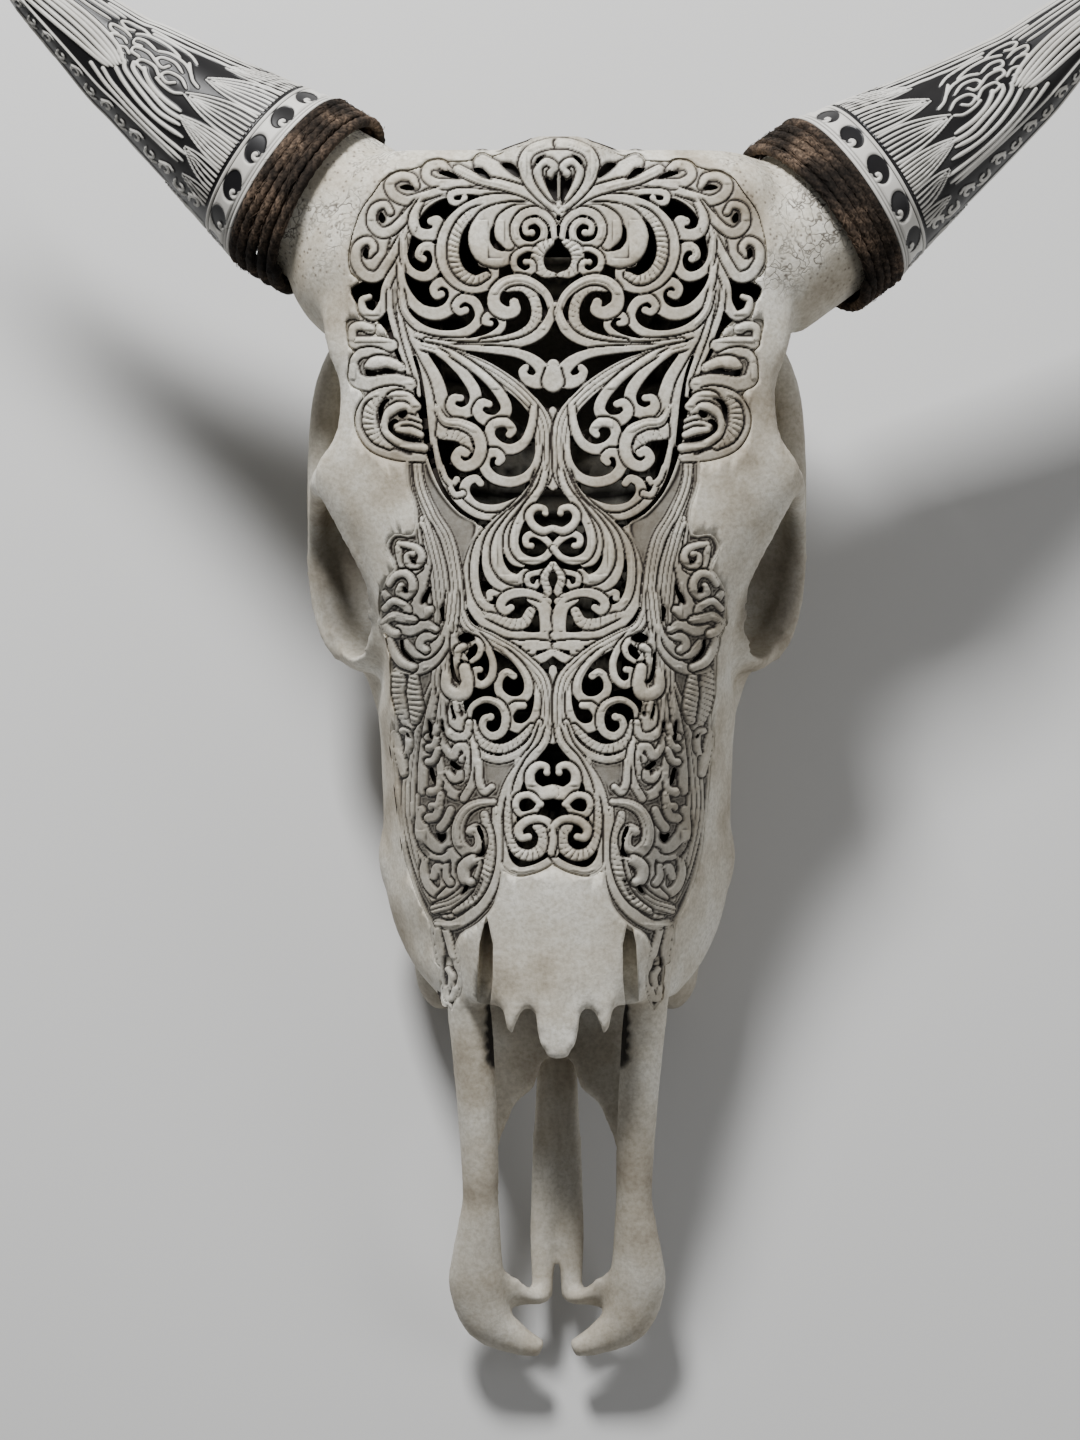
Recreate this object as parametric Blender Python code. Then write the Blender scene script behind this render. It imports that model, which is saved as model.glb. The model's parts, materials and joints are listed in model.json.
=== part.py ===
"""Carved cow skull, built at its real size with Blender's modelling tools.

The forms are laid out in the face frame: x to the side, y up the face from the tip of the
snout, z out of the forehead, all in millimetres. The empty skull_frame tips that frame by
FACE_SLOPE, so that the skull lies on its cheek teeth and its two jugular processes.
"""

import functools
import math

import bmesh
import bpy
from mathutils import Matrix, Vector

# Driving dimensions
MM = 0.001
FACE_SLOPE = math.radians(13.0)  # the forehead against the table
FACE_HEIGHT = 98.0  # face plane above the table, at the snout tip
BOSS_HALF_WIDTH = 115.0  # outside of the horn bosses
CLEARANCE = 0.3  # gap between pieces that touch

HORN_LENGTH = 286.0
HORN_TAPER_RADIUS = 46.0  # what the sheath's taper would reach at its base
HORN_TAPER_POWER = 1.5
HORN_TIP_RADIUS = 0.9
HORN_HOLLOW = 110.0  # how far the sheath is hollow over the bony core
HORN_HOLLOW_END = 3.0
HORN_WALL = 4.0
HORN_CORE_GAP = 1.0
HORN_CORE_LENGTH = 88.0
HORN_CORE_ROOT = 25.0  # how far the core reaches into the boss
HORN_CORE_RINGS = 8
HORN_SIDES = 18
HORN_RING_COUNT = 13
HOLLOW_RINGS = 5
ROPE_SEAT_RADIUS = 35.6  # the sheath is narrower under the rope
ROPE_START = 0.6  # from the base of the sheath
ROPE_BAND = 23.4  # width of each rope winding along the horn
ROPE_DIAMETER = 5.6
ROPE_TURNS = 4
ROPE_SIDES = 18
BOSS_TRIM_RADIUS = 55.0

SKULL_VOXEL = 2.4 * MM
CUTTER_VOXEL = 2.8 * MM
SKULL_TRIANGLES = 3800

BONE = (0.60, 0.57, 0.50)
HORN_BLACK = (0.035, 0.035, 0.038)
ROPE_BROWN = (0.055, 0.042, 0.036)
TOOTH_IVORY = (0.62, 0.57, 0.46)


def clear_scene():
    for obj in list(bpy.data.objects):
        bpy.data.objects.remove(obj, do_unlink=True)


def material(name, colour, roughness):
    made = bpy.data.materials.new(name)
    made.use_nodes = True
    shader = made.node_tree.nodes["Principled BSDF"]
    shader.inputs["Base Color"].default_value = (*colour, 1.0)
    shader.inputs["Roughness"].default_value = roughness
    shader.inputs["Metallic"].default_value = 0.0
    return made


# Places

def from_table(x, y, z):
    """A point measured from the table, as the face frame has it."""
    down = z - FACE_HEIGHT
    cos, sin = math.cos(FACE_SLOPE), math.sin(FACE_SLOPE)
    return (x, y * cos + down * sin, -y * sin + down * cos)


def mirrored(points):
    return [(-x, y, z) for x, y, z in points]


def smooth_path(points, steps):
    """A Catmull-Rom curve through the points, with steps pieces between each two."""
    knots = [Vector(p) for p in points]
    knots = [2 * knots[0] - knots[1], *knots, 2 * knots[-1] - knots[-2]]
    line = []
    for a, b, c, d in zip(knots, knots[1:], knots[2:], knots[3:]):
        for k in range(steps):
            t = k / steps
            line.append(
                0.5 * (2 * b + (c - a) * t + (2 * a - 5 * b + 4 * c - d) * t**2
                       + (3 * b - a - 3 * c + d) * t**3)
            )
    return [*line, knots[-2]]


def blended(values, count):
    """The values spread evenly over count places, with straight runs between them."""
    found = []
    for k in range(count):
        place = k * (len(values) - 1) / (count - 1)
        low = min(int(place), len(values) - 2)
        part = place - low
        found.append(values[low] * (1 - part) + values[low + 1] * part)
    return found


# Forms, each added to a bmesh in millimetres

def add_loft(bm, rings, endless=False):
    """A closed body through rings of points, capped at both ends or, if endless, joined up."""
    loops = [[bm.verts.new(p) for p in ring] for ring in rings]
    count = len(loops[0])
    for lower, upper in zip(loops, loops[1:] + loops[:1] if endless else loops[1:]):
        for i in range(count):
            j = (i + 1) % count
            bm.faces.new((lower[i], lower[j], upper[j], upper[i]))
    if not endless:
        bm.faces.new(loops[0][::-1])
        bm.faces.new(loops[-1])


def ring_frames(path, across):
    """For each point of the path, the two directions that its ring spans."""
    frames = []
    for i, point in enumerate(path):
        ahead = path[min(i + 1, len(path) - 1)]
        behind = path[max(i - 1, 0)]
        along = (ahead - behind).normalized()
        side = Vector(across) - along * along.dot(Vector(across))
        side.normalize()
        frames.append((point, side, along.cross(side)))
    return frames


def oval(point, side, up, wide, deep, sides):
    turn = [2 * math.pi * k / sides for k in range(sides)]
    return [point + side * wide * math.cos(a) + up * deep * math.sin(a) for a in turn]


def add_tube(bm, points, wide, deep, across=(1, 0, 0), sides=12, steps=4):
    """A swept bar with an oval section: wide and deep are its half sizes along the path."""
    path = smooth_path(points, steps)
    wides, deeps = blended(wide, len(path)), blended(deep, len(path))
    rings = []
    for (point, side, up), w, d in zip(ring_frames(path, across), wides, deeps):
        rings.append(oval(point, side, up, w, d, sides))
    add_loft(bm, rings)


def add_ring(bm, points, radius, sides=8, steps=3):
    """A closed hoop of round section through the points."""
    knots = [Vector(p) for p in points]
    line = smooth_path([*knots[-2:], *knots, *knots[:2]], steps)[2 * steps:-2 * steps - steps]
    middle = sum(knots, Vector()) / len(knots)
    loops = []
    for i, point in enumerate(line):
        along = (line[(i + 1) % len(line)] - line[i - 1]).normalized()
        outward = (point - middle).normalized()
        outward = (outward - along * along.dot(outward)).normalized()
        loops.append(oval(point, outward, along.cross(outward), radius, radius, sides))
    add_loft(bm, loops, endless=True)


def add_ball(bm, centre, radii, turn=Matrix.Identity(3)):
    """An ellipsoid; turn carries its own axes to the face frame."""
    made = bmesh.ops.create_uvsphere(bm, u_segments=20, v_segments=14, radius=1.0)
    size = Matrix.Diagonal((*radii, 1.0))
    place = Matrix.Translation(centre) @ turn.to_4x4() @ size
    bmesh.ops.transform(bm, matrix=place, verts=made["verts"])


def add_plate(bm, outline, height, thickness):
    """A sheet with a drawn outline; height(x, y) gives its upper face."""
    top = [bm.verts.new((x, y, height(x, y))) for x, y in outline]
    face = bm.faces.new(top)
    made = bmesh.ops.extrude_face_region(bm, geom=[face])
    low = [v for v in made["geom"] if isinstance(v, bmesh.types.BMVert)]
    bmesh.ops.translate(bm, verts=low, vec=(0, 0, -thickness))


def both_sides(add, bm, points, *more, **settings):
    """Adds a form at the right, and its mirror image at the left."""
    add(bm, points, *more, **settings)
    add(bm, mirrored(points), *more, **settings)


def new_object(name, bm, finish=None, helper=False):
    """Turns a bmesh in millimetres into an object of the skull frame."""
    bmesh.ops.scale(bm, vec=(MM, MM, MM), verts=bm.verts)
    bmesh.ops.recalc_face_normals(bm, faces=bm.faces)
    mesh = bpy.data.meshes.new(name)
    bm.to_mesh(mesh)
    bm.free()
    obj = bpy.data.objects.new(name, mesh)
    bpy.context.scene.collection.objects.link(obj)
    if finish:
        mesh.materials.append(finish)
    if helper:
        obj.hide_render = True
        obj.display_type = "WIRE"
    return obj


def subtract(obj, cutter):
    cut = obj.modifiers.new("cut_" + cutter.name, "BOOLEAN")
    cut.operation = "DIFFERENCE"
    cut.solver = "EXACT"
    cut.object = cutter


def remesh(obj, voxel, smoothing=0):
    skin = obj.modifiers.new("one_skin", "REMESH")
    skin.mode = "VOXEL"
    skin.voxel_size = voxel
    if smoothing:
        ease = obj.modifiers.new("ease", "SMOOTH")
        ease.factor = 0.5
        ease.iterations = smoothing


def settle(obj):
    """Replaces the object's mesh with what its modifiers make of it."""
    bpy.context.view_layer.update()
    graph = bpy.context.evaluated_depsgraph_get()
    made = bpy.data.meshes.new_from_object(obj.evaluated_get(graph))
    obj.modifiers.clear()
    obj.data = made


# Skull: the half outlines run from the midline over the top, round the side, to the midline

SKULL_SECTIONS = {
    499: [(0, -9), (42, -10), (70, -14), (82, -34), (78, -60), (68, -85), (54, -112), (28, -130), (0, -133)],
    485: [(0, 0), (50, -1), (84, -7), (94, -32), (88, -60), (76, -90), (60, -122), (32, -144), (0, -147)],
    452: [(0, 1), (50, -1), (84, -6), (99, -24), (80, -50), (68, -82), (62, -120), (34, -147), (0, -150)],
    420: [(0, 1), (50, -2), (82, -8), (97, -20), (70, -38), (58, -76), (52, -114), (30, -138), (0, -142)],
    402: [(0, 0), (50, -2), (78, -9), (91, -21), (68, -38), (57, -75), (48, -110), (27, -132), (0, -136)],
    382: [(0, 0), (50, -3), (80, -12), (93, -24), (66, -40), (54, -75), (44, -104), (25, -124), (0, -128)],
    364: [(0, 0), (50, -4), (84, -16), (102, -31), (64, -48), (50, -75), (38, -100), (20, -118), (0, -122)],
    335: [(0, 0), (44, -4), (70, -15), (84, -33), (58, -54), (44, -80), (32, -104), (18, -116), (0, -118)],
    305: [(0, -1), (36, -4), (58, -14), (75, -36), (62, -60), (54, -92), (50, -122), (22, -122), (0, -118)],
    275: [(0, -1), (30, -4), (52, -16), (68, -38), (76, -66), (74, -98), (66, -134), (38, -130), (0, -114)],
    249: [(0, -2), (27, -5), (47, -17), (63, -42), (74, -72), (76, -98), (65, -134), (40, -126), (0, -108)],
    225: [(0, -3), (27, -6), (44, -18), (61, -44), (73, -76), (75, -98), (62, -130), (39, -119), (0, -102)],
    203: [(0, -3), (26, -7), (41, -20), (58, -47), (73, -80), (75, -98), (59, -122), (38, -112), (0, -97)],
    186: [(0, -4), (25, -8), (39, -20), (56, -47), (71, -77), (73, -95), (58, -115), (36, -107), (0, -94)],
    170: [(0, -6), (25, -10), (37, -20), (51, -46), (65, -74), (69, -92), (55, -108), (34, -102), (0, -90)],
    156: [(0, -7), (23, -11), (34, -21), (47, -44), (58, -66), (61, -84), (48, -100), (30, -97), (0, -87)],
    144: [(0, -9), (21, -13), (31, -23), (42, -42), (49, -60), (50, -78), (42, -92), (28, -90), (0, -84)],
}

ORBIT_RIM = [
    (98.5, 362, -33), (86, 340, -33), (75, 316, -39), (74, 297, -54), (82, 287, -71), (91, 290, -84),
    (99, 300, -91), (103.5, 315, -95), (105, 331, -93), (104, 347, -80), (101.5, 358, -57),
]
ORBIT_RIM_RADIUS = 4.4
ORBIT_BACK_BAR = [(104, 340, -90), (103, 355, -76), (100.5, 363, -56), (96.5, 364, -32)]
ORBIT_BACK_WIDE, ORBIT_BACK_DEEP = [4.5, 4.5, 5, 6], [6, 7, 7, 8]
ORBIT_CENTRE = Vector((88, 323, -66))
ORBIT_LEAN = math.radians(66)  # how far the socket's mouth turns from the viewer to the side
ORBIT_BONE = (-13, (33, 40, 29))  # how far the round body sits under the mouth, and its half sizes
ORBIT_SPACE = (-2, (27, 34, 32))

CHEEK_ARCH = [
    (64, 240, -92), (73, 268, -90), (80, 286, -90), (93, 300, -93), (101, 318, -97), (102.5, 340, -97),
    (102, 362, -96), (101.5, 388, -97), (99, 408, -98), (93.5, 424, -100), (83, 438, -101), (66, 450, -100),
]
CHEEK_ARCH_WIDE = [9, 5.5, 5, 4.5, 6, 6.5, 7.5, 7.5, 7.5, 6.5, 6, 6]
CHEEK_ARCH_DEEP = [10, 10, 9, 9, 9, 9, 9, 8, 8, 9, 11, 12]
SNOUT_BAR = [
    (41, 172, -42), (39.5, 152, -45), (37, 136, -49), (34, 94, -56), (32.9, 58, -61),
    (34.6, 23, -68), (30, 5, -72), (18, -4, -74), (6.5, -8.5, -74),
]
SNOUT_BAR_WIDE = [7, 8.5, 9.5, 8.6, 7.8, 12.6, 11, 7, 3.8]
SNOUT_BAR_DEEP = [8, 10, 10, 9, 8, 9.5, 9, 6.5, 4.5]
PALATE_BAR = [(4.4, 150, -92), (4.3, 116, -88), (5.3, 80, -85), (6.3, 40, -82), (6.2, 12, -80)]
PALATE_BAR_WIDE = [3.8, 4.4, 5.4, 5.9, 4.4]
PALATE_BAR_DEEP = [4.5]
LIP_BRIDGE = [(27, 19, -73), (16, 14, -76), (6, 13, -79)]
LIP_BRIDGE_WIDE, LIP_BRIDGE_DEEP = [9, 8, 7], [4, 3, 3.5]
JUGULAR = [(50, 470, -110), (53, 463, -150), (50, 456, -182), (47, 451, -214)]
JUGULAR_WIDE, JUGULAR_DEEP = [15, 13, 7.5, 4.2], [15, 15, 11.5, 6.5]
BASE_OF_BRAINCASE = [(0, 480, -146), (0, 400, -140), (0, 330, -120)]
BASE_WIDE, BASE_DEEP = [20, 15, 12], [14, 14, 10]
THROAT_WING = [(24, 270, -126), (20, 310, -136), (17, 345, -132)]
THROAT_WING_WIDE, THROAT_WING_DEEP = [5, 4, 4], [12, 16, 12]

# The ridge that holds the teeth, (x, y) along the table at RIDGE_HEIGHT above it
TOOTH_RIDGE = [(46, 157), (50, 168), (53, 202), (60, 262), (59, 306)]
TOOTH_RIDGE_WIDE, TOOTH_RIDGE_DEEP = [6, 12, 13, 13, 11], [8, 12, 15, 16, 14]
RIDGE_HEIGHT = 28.0

# Round forms: where the middle is, and the half sizes
POLL_KNOB = ((0, 491.5, -7), (25, 11.5, 10))
PAIRED_KNOBS = {
    "horn boss": ((73, 459, -40), (BOSS_HALF_WIDTH - 73, 42, 37)),
    "neck condyle": ((23, 487, -143), (16, 17, 20)),
    "ear bulla": ((38, 436, -148), (12, 18, 16)),
    "cheek knob": ((68, 204, -92), (10, 20, 14)),
    "arch root": ((78, 440, -101), (18, 14, 10)),
}

# Spaces inside: the middle line, the half widths and the half depths
PASSAGES = {
    "nose": (
        [(0, 95, -38), (0, 150, -42), (0, 215, -45), (0, 280, -44), (0, 330, -40)],
        [22, 23, 24, 28, 35], [24, 29, 36, 37, 32],
    ),
    "nose floor": (
        [(0, 120, -52), (0, 150, -56), (0, 215, -64), (0, 272, -74)],
        [32, 40, 55, 50], [18, 20, 30, 34],
    ),
    "under the forehead": (
        [(0, 310, -36), (0, 360, -38), (0, 410, -48), (0, 455, -54), (0, 482, -52)],
        [34, 42, 54, 62, 56], [27, 31, 41, 44, 34],
    ),
    "neck opening": (
        [(0, 445, -112), (0, 485, -132), (0, 515, -141)], [18, 16, 16], [17, 14, 14],
    ),
    "throat opening": (
        [(0, 300, -100), (0, 330, -128), (0, 352, -140)], [14, 14, 13], [12, 14, 12],
    ),
}
BRAIN_SPACE = ((0, 432, -98), (42, 48, 36))
TEMPLE_SPACE = ((92, 408, -80), (21, 38, 38))

NASAL_TIP = [
    (-1, 122.5), (3.5, 123), (8, 130), (9.2, 143), (12.3, 152), (16, 141), (19.8, 130),
    (22.5, 141), (24.5, 157), (26, 178), (27, 230), (-1, 230),
]
NASAL_THICKNESS = 6.0
NASAL_SLIT = [(29.5, 183), (29.5, 170), (30, 155), (31.5, 136)]
NASAL_SLIT_WIDTH = 5.5
FLOOR_EDGE = [
    (-1, 117), (6, 117), (10, 104), (18, 98), (24, 84), (28, 70), (31, 76), (32, 140), (32, 250), (-1, 250),
]
FLOOR_THICKNESS = 5.0


def nasal_height(x, y):
    return -5 - (180 - y) * 0.08 - x * x * 0.008


def floor_height(x, y):
    return -64 - (y - 80) * 0.13 - (30 - abs(x)) * 0.25


def skull_rings():
    rings = []
    for y, half in sorted(SKULL_SECTIONS.items()):
        right = [(x, y, z) for x, z in half]
        left = [(-x, y, z) for x, z in reversed(half[1:-1])]
        rings.append(right + left)
    return rings


def orbit_form(side, inset_and_radii):
    """Middle, half sizes and turn of a round form that faces out of the eye socket."""
    inset, radii = inset_and_radii
    lean = Matrix.Rotation(side * ORBIT_LEAN, 3, "Y")
    centre = Vector((side * ORBIT_CENTRE.x, ORBIT_CENTRE.y, ORBIT_CENTRE.z))
    return centre + lean @ Vector((0, 0, inset)), radii, lean


def skull_block():
    """Braincase, face and bosses before anything is hollowed out."""
    bm = bmesh.new()
    add_loft(bm, skull_rings())
    bmesh.ops.subdivide_edges(bm, edges=bm.edges, cuts=1, use_grid_fill=True, smooth=0.6)
    add_ball(bm, *POLL_KNOB)
    for side in (-1, 1):
        for (x, y, z), radii in PAIRED_KNOBS.values():
            add_ball(bm, (side * x, y, z), radii)
        add_ball(bm, *orbit_form(side, ORBIT_BONE))
    add_tube(bm, BASE_OF_BRAINCASE, BASE_WIDE, BASE_DEEP)
    ridge = [from_table(x, y, RIDGE_HEIGHT) for x, y in TOOTH_RIDGE]
    both_sides(add_tube, bm, ridge, TOOTH_RIDGE_WIDE, TOOTH_RIDGE_DEEP)
    both_sides(add_tube, bm, THROAT_WING, THROAT_WING_WIDE, THROAT_WING_DEEP)
    block = new_object("skull_block", bm, helper=True)
    remesh(block, SKULL_VOXEL)
    return block


def skull_hollows():
    """Nose passage, space under the forehead, brain cavity, eye sockets and temples."""
    bm = bmesh.new()
    for line, wide, deep in PASSAGES.values():
        add_tube(bm, line, wide, deep, sides=16)
    add_ball(bm, *BRAIN_SPACE)
    (x, y, z), radii = TEMPLE_SPACE
    for side in (-1, 1):
        add_ball(bm, *orbit_form(side, ORBIT_SPACE))
        add_ball(bm, (side * x, y, z), radii)
    hollows = new_object("hollows", bm, helper=True)
    remesh(hollows, CUTTER_VOXEL)
    return hollows


def skull_outworks(block):
    """The parts that stand free of the block: arches, rims, snout bars, nasal tips, floor."""
    bm = bmesh.new()
    bm.from_mesh(block.data)
    bmesh.ops.scale(bm, vec=(1 / MM, 1 / MM, 1 / MM), verts=bm.verts)
    both_sides(add_tube, bm, CHEEK_ARCH, CHEEK_ARCH_WIDE, CHEEK_ARCH_DEEP)
    both_sides(add_ring, bm, ORBIT_RIM, ORBIT_RIM_RADIUS)
    both_sides(add_tube, bm, ORBIT_BACK_BAR, ORBIT_BACK_WIDE, ORBIT_BACK_DEEP)
    both_sides(add_tube, bm, SNOUT_BAR, SNOUT_BAR_WIDE, SNOUT_BAR_DEEP)
    both_sides(add_tube, bm, LIP_BRIDGE, LIP_BRIDGE_WIDE, LIP_BRIDGE_DEEP)
    both_sides(add_tube, bm, PALATE_BAR, PALATE_BAR_WIDE, PALATE_BAR_DEEP)
    plates = ((NASAL_TIP, nasal_height, NASAL_THICKNESS), (FLOOR_EDGE, floor_height, FLOOR_THICKNESS))
    for outline, height, thickness in plates:
        add_plate(bm, outline, height, thickness)
        add_plate(bm, [(-x, y) for x, y in outline], height, thickness)
    both_sides(add_tube, bm, JUGULAR, JUGULAR_WIDE, JUGULAR_DEEP)
    for side in (-1, 1):
        add_horn_core(bm, side)
    block.data.name = "skull_block_spent"
    return new_object("skull", bm, MATERIALS["bone"])


def triangle_count(obj):
    graph = bpy.context.evaluated_depsgraph_get()
    mesh = obj.evaluated_get(graph).data
    mesh.calc_loop_triangles()
    return len(mesh.loop_triangles)


# Carving: where the forehead is cut through. Each opening is (x, y, length, width, angle)

SIDE_OPENINGS = [
    (20, 486, 17, 6, 160), (44, 480, 15, 7, 150), (63, 468, 15, 8, 120), (52, 456, 18, 8, 85),
    (56, 438, 15, 8, 120), (38, 429, 16, 7, 160), (30, 462, 18, 6, 80), (20, 441, 13, 5, 30),
    (14, 410, 16, 6, 25), (31, 405, 18, 8, 125), (14, 392, 11, 6, 110), (33, 386, 12, 7, 60),
    (16, 377, 15, 7, 65), (32, 366, 12, 6, 150), (18, 355, 18, 7, 20),
    (18, 325, 15, 6, 105), (27, 306, 13, 6, 60), (22, 281, 13, 6, 110), (15, 260, 14, 6, 75),
]
MIDDLE_OPENINGS = [
    (0, 482, 13, 12, 90), (0, 459, 9, 8, 90), (0, 446, 11, 9, 90), (0, 418, 14, 9, 0), (0, 395, 14, 12, 90),
    (0, 352, 17, 9, 90), (0, 322, 7, 7, 90), (0, 307, 8, 7, 90), (0, 286, 12, 10, 90),
    (0, 246, 9, 8, 90), (0, 226, 12, 10, 90),
]
SIDE_SLOT = [(82, 437), (75, 424), (64, 402), (53, 380), (45, 360), (40, 345)]
SIDE_SLOT_WIDTH = 8.0
OPENING_TOP, OPENING_BOTTOM = 12.0, -34.0


def add_prism(bm, outline):
    """A cutter that stands straight down through the forehead."""
    add_loft(bm, [
        [(x, y, OPENING_BOTTOM) for x, y in outline],
        [(x, y, OPENING_TOP) for x, y in outline],
    ])


def opening_outline(x, y, length, width, angle):
    """A kite, a little wider towards the end that angle points to."""
    turn = math.radians(angle)
    along, over = (math.cos(turn), math.sin(turn)), (-math.sin(turn), math.cos(turn))
    shape = [(0.5, 0), (0.14, 0.5), (-0.5, 0), (0.14, -0.5)]
    return [
        (x + a * length * along[0] + b * width * over[0], y + a * length * along[1] + b * width * over[1])
        for a, b in shape
    ]


def slot_outline(middle, width):
    """A slit along a line of points, pointed at both ends."""
    line = [Vector(p) for p in middle]
    left, right = [], []
    for i in range(1, len(line) - 1):
        along = (line[i + 1] - line[i - 1]).normalized()
        over = Vector((-along.y, along.x)) * width / 2
        left.append(line[i] + over)
        right.append(line[i] - over)
    return [tuple(p) for p in [line[0], *left, line[-1], *reversed(right)]]


def carving_cutter():
    bm = bmesh.new()
    for opening in MIDDLE_OPENINGS:
        add_prism(bm, opening_outline(*opening))
    for x, y, length, width, angle in SIDE_OPENINGS:
        add_prism(bm, opening_outline(x, y, length, width, angle))
        add_prism(bm, opening_outline(-x, y, length, width, 180 - angle))
    for line, width in ((SIDE_SLOT, SIDE_SLOT_WIDTH), (NASAL_SLIT, NASAL_SLIT_WIDTH)):
        slot = slot_outline(line, width)
        add_prism(bm, slot)
        add_prism(bm, [(-x, y) for x, y in slot])
    return new_object("carving_cutter", bm, helper=True)


# Teeth: three premolars and three molars a side, from the front: (name, length, width)

TEETH = [
    ("premolar_1", 17, 16), ("premolar_2", 19, 18), ("premolar_3", 19, 20),
    ("molar_1", 23, 22), ("molar_2", 27, 23), ("molar_3", 29, 22),
]
TOOTH_ROW_START = 163.0  # from the snout tip, measured along the table
TOOTH_ROW_X = (47.0, 60.0)
TOOTH_CROWN, TOOTH_ROOT = 14.0, 11.0
TOOTH_GAP = 1.0
TOOTH_LOBE = 1.8  # how far the outer ribs stand out
TOOTH_ROOT_WIDTH, TOOTH_ROOT_LENGTH = 0.86, 0.92  # the root end as a share of the grinding face
SOCKET_OPENING = -2.0  # where the cutter of a tooth's socket starts, above the table


def tooth_places():
    """(name, side, x, y, length, width) of each tooth, measured from the table."""
    total = sum(length for _, length, _ in TEETH) + TOOTH_GAP * (len(TEETH) - 1)
    y = TOOTH_ROW_START
    for name, length, width in TEETH:
        middle = y + length / 2
        share = (middle - TOOTH_ROW_START) / total
        x = TOOTH_ROW_X[0] + (TOOTH_ROW_X[1] - TOOTH_ROW_X[0]) * share
        for side, word in ((-1, "left"), (1, "right")):
            yield f"{word}_{name}", side, side * x, middle, length, width
        y += length + TOOTH_GAP


def tooth_outline(side, length, width, grow=0.0):
    """The tooth's section: two ribs on the cheek side, a rounder tongue side."""
    a, b = length / 2 + grow, width / 2 + grow
    half = [
        (b - TOOTH_LOBE, -a), (b, -a * 0.55), (b - TOOTH_LOBE, -a * 0.05), (b, a * 0.5),
        (b - TOOTH_LOBE, a), (-b * 0.6, a * 0.96), (-b, a * 0.4), (-b * 0.86, 0), (-b, -a * 0.45),
        (-b * 0.6, -a * 0.96),
    ]
    return [(side * x, y) for x, y in half]


def add_tooth(bm, side, length, width, low, high, grow=0.0):
    shape = tooth_outline(side, length, width, grow)
    root = [(x * TOOTH_ROOT_WIDTH, y * TOOTH_ROOT_LENGTH) for x, y in shape]
    add_loft(bm, [[(x, y, low) for x, y in shape], [(x, y, high) for x, y in root]])


def make_teeth(frame):
    upright = Matrix.Rotation(-FACE_SLOPE, 4, "X")
    cutter = bmesh.new()
    for name, side, x, y, length, width in tooth_places():
        place = Matrix.Translation(from_table(x, y, 0))
        bm = bmesh.new()
        top = TOOTH_CROWN + TOOTH_ROOT
        add_tooth(bm, side, length, width, 0, top)
        tooth = new_object(name, bm, MATERIALS["tooth"])
        tooth.parent = frame
        tooth.location = place.translation * MM
        tooth.rotation_euler = (-FACE_SLOPE, 0, 0)
        socket = bmesh.new()
        add_tooth(socket, side, length, width, SOCKET_OPENING, top + CLEARANCE, CLEARANCE)
        bmesh.ops.transform(socket, matrix=place @ upright, verts=socket.verts)
        spare = bpy.data.meshes.new("socket")
        socket.to_mesh(spare)
        socket.free()
        cutter.from_mesh(spare)
        bpy.data.meshes.remove(spare)
    return new_object("socket_cutter", cutter, helper=True)


def table_cutter():
    """Everything below the table, which trims the jugular processes flat."""
    bm = bmesh.new()
    depth, reach = 40.0, 400.0
    corners = [(-reach, -reach), (reach, -reach), (reach, 2 * reach), (-reach, 2 * reach)]
    add_loft(bm, [[from_table(x, y, z) for x, y in corners] for z in (-depth, 0)])
    return new_object("table_cutter", bm, helper=True)


# Horns and rope

# Each line runs from the base of the sheath to its tip, here as it lies at the right
HORN_LINES = {
    -1: [
        (94.7, 479.3, -46), (114.7, 492, -50), (170.9, 533.6, -58), (193.7, 551.3, -60),
        (252, 606, -58), (301, 673, -42),
    ],
    1: [
        (102.8, 469.6, -46), (121.5, 483.4, -50), (182.2, 525.6, -58), (210.9, 549, -60),
        (264.5, 602, -58), (301, 672, -42),
    ],
}


@functools.lru_cache
def horn_line(side):
    """The horn's middle line as many short pieces, with how far each point is from the base."""
    line = smooth_path(HORN_LINES[side], 12)
    lengths = [0.0]
    for a, b in zip(line, line[1:]):
        lengths.append(lengths[-1] + (b - a).length)
    stretch = HORN_LENGTH / lengths[-1]
    return line, [length * stretch for length in lengths]


def horn_point(side, s):
    line, lengths = horn_line(side)
    i = max([j for j in range(len(line) - 1) if lengths[j] <= s], default=0)
    part = (s - lengths[i]) / (lengths[i + 1] - lengths[i])
    return line[i].lerp(line[i + 1], part) if part < 1 else line[i] + (line[i + 1] - line[i]) * part


def horn_rings(side, places, radius_at, sides=HORN_SIDES):
    """Rings round the horn's middle line, radius_at(s) wide at each place s."""
    rings = []
    for s in places:
        point = horn_point(side, s)
        along = (horn_point(side, s + 1) - horn_point(side, s - 1)).normalized()
        across = (Vector((0, 0, 1)) - along * along.z).normalized()
        radius = radius_at(s)
        ring = oval(point, across, along.cross(across), radius, radius, sides)
        rings.append([(side * p.x, p.y, p.z) for p in ring])
    return rings


def taper_radius(s):
    left = max(1 - s / HORN_LENGTH, 0.0)
    return max(HORN_TAPER_RADIUS * left**HORN_TAPER_POWER, HORN_TIP_RADIUS)


def hollow_radius(s):
    """The radius of the space inside the sheath, which ends in a round point."""
    bare = min(taper_radius(s), ROPE_SEAT_RADIUS)
    return max((bare - HORN_WALL) * (1 - (s / HORN_HOLLOW) ** 3), HORN_HOLLOW_END)


def spread(start, end, count):
    return [start + (end - start) * k / (count - 1) for k in range(count)]


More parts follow.
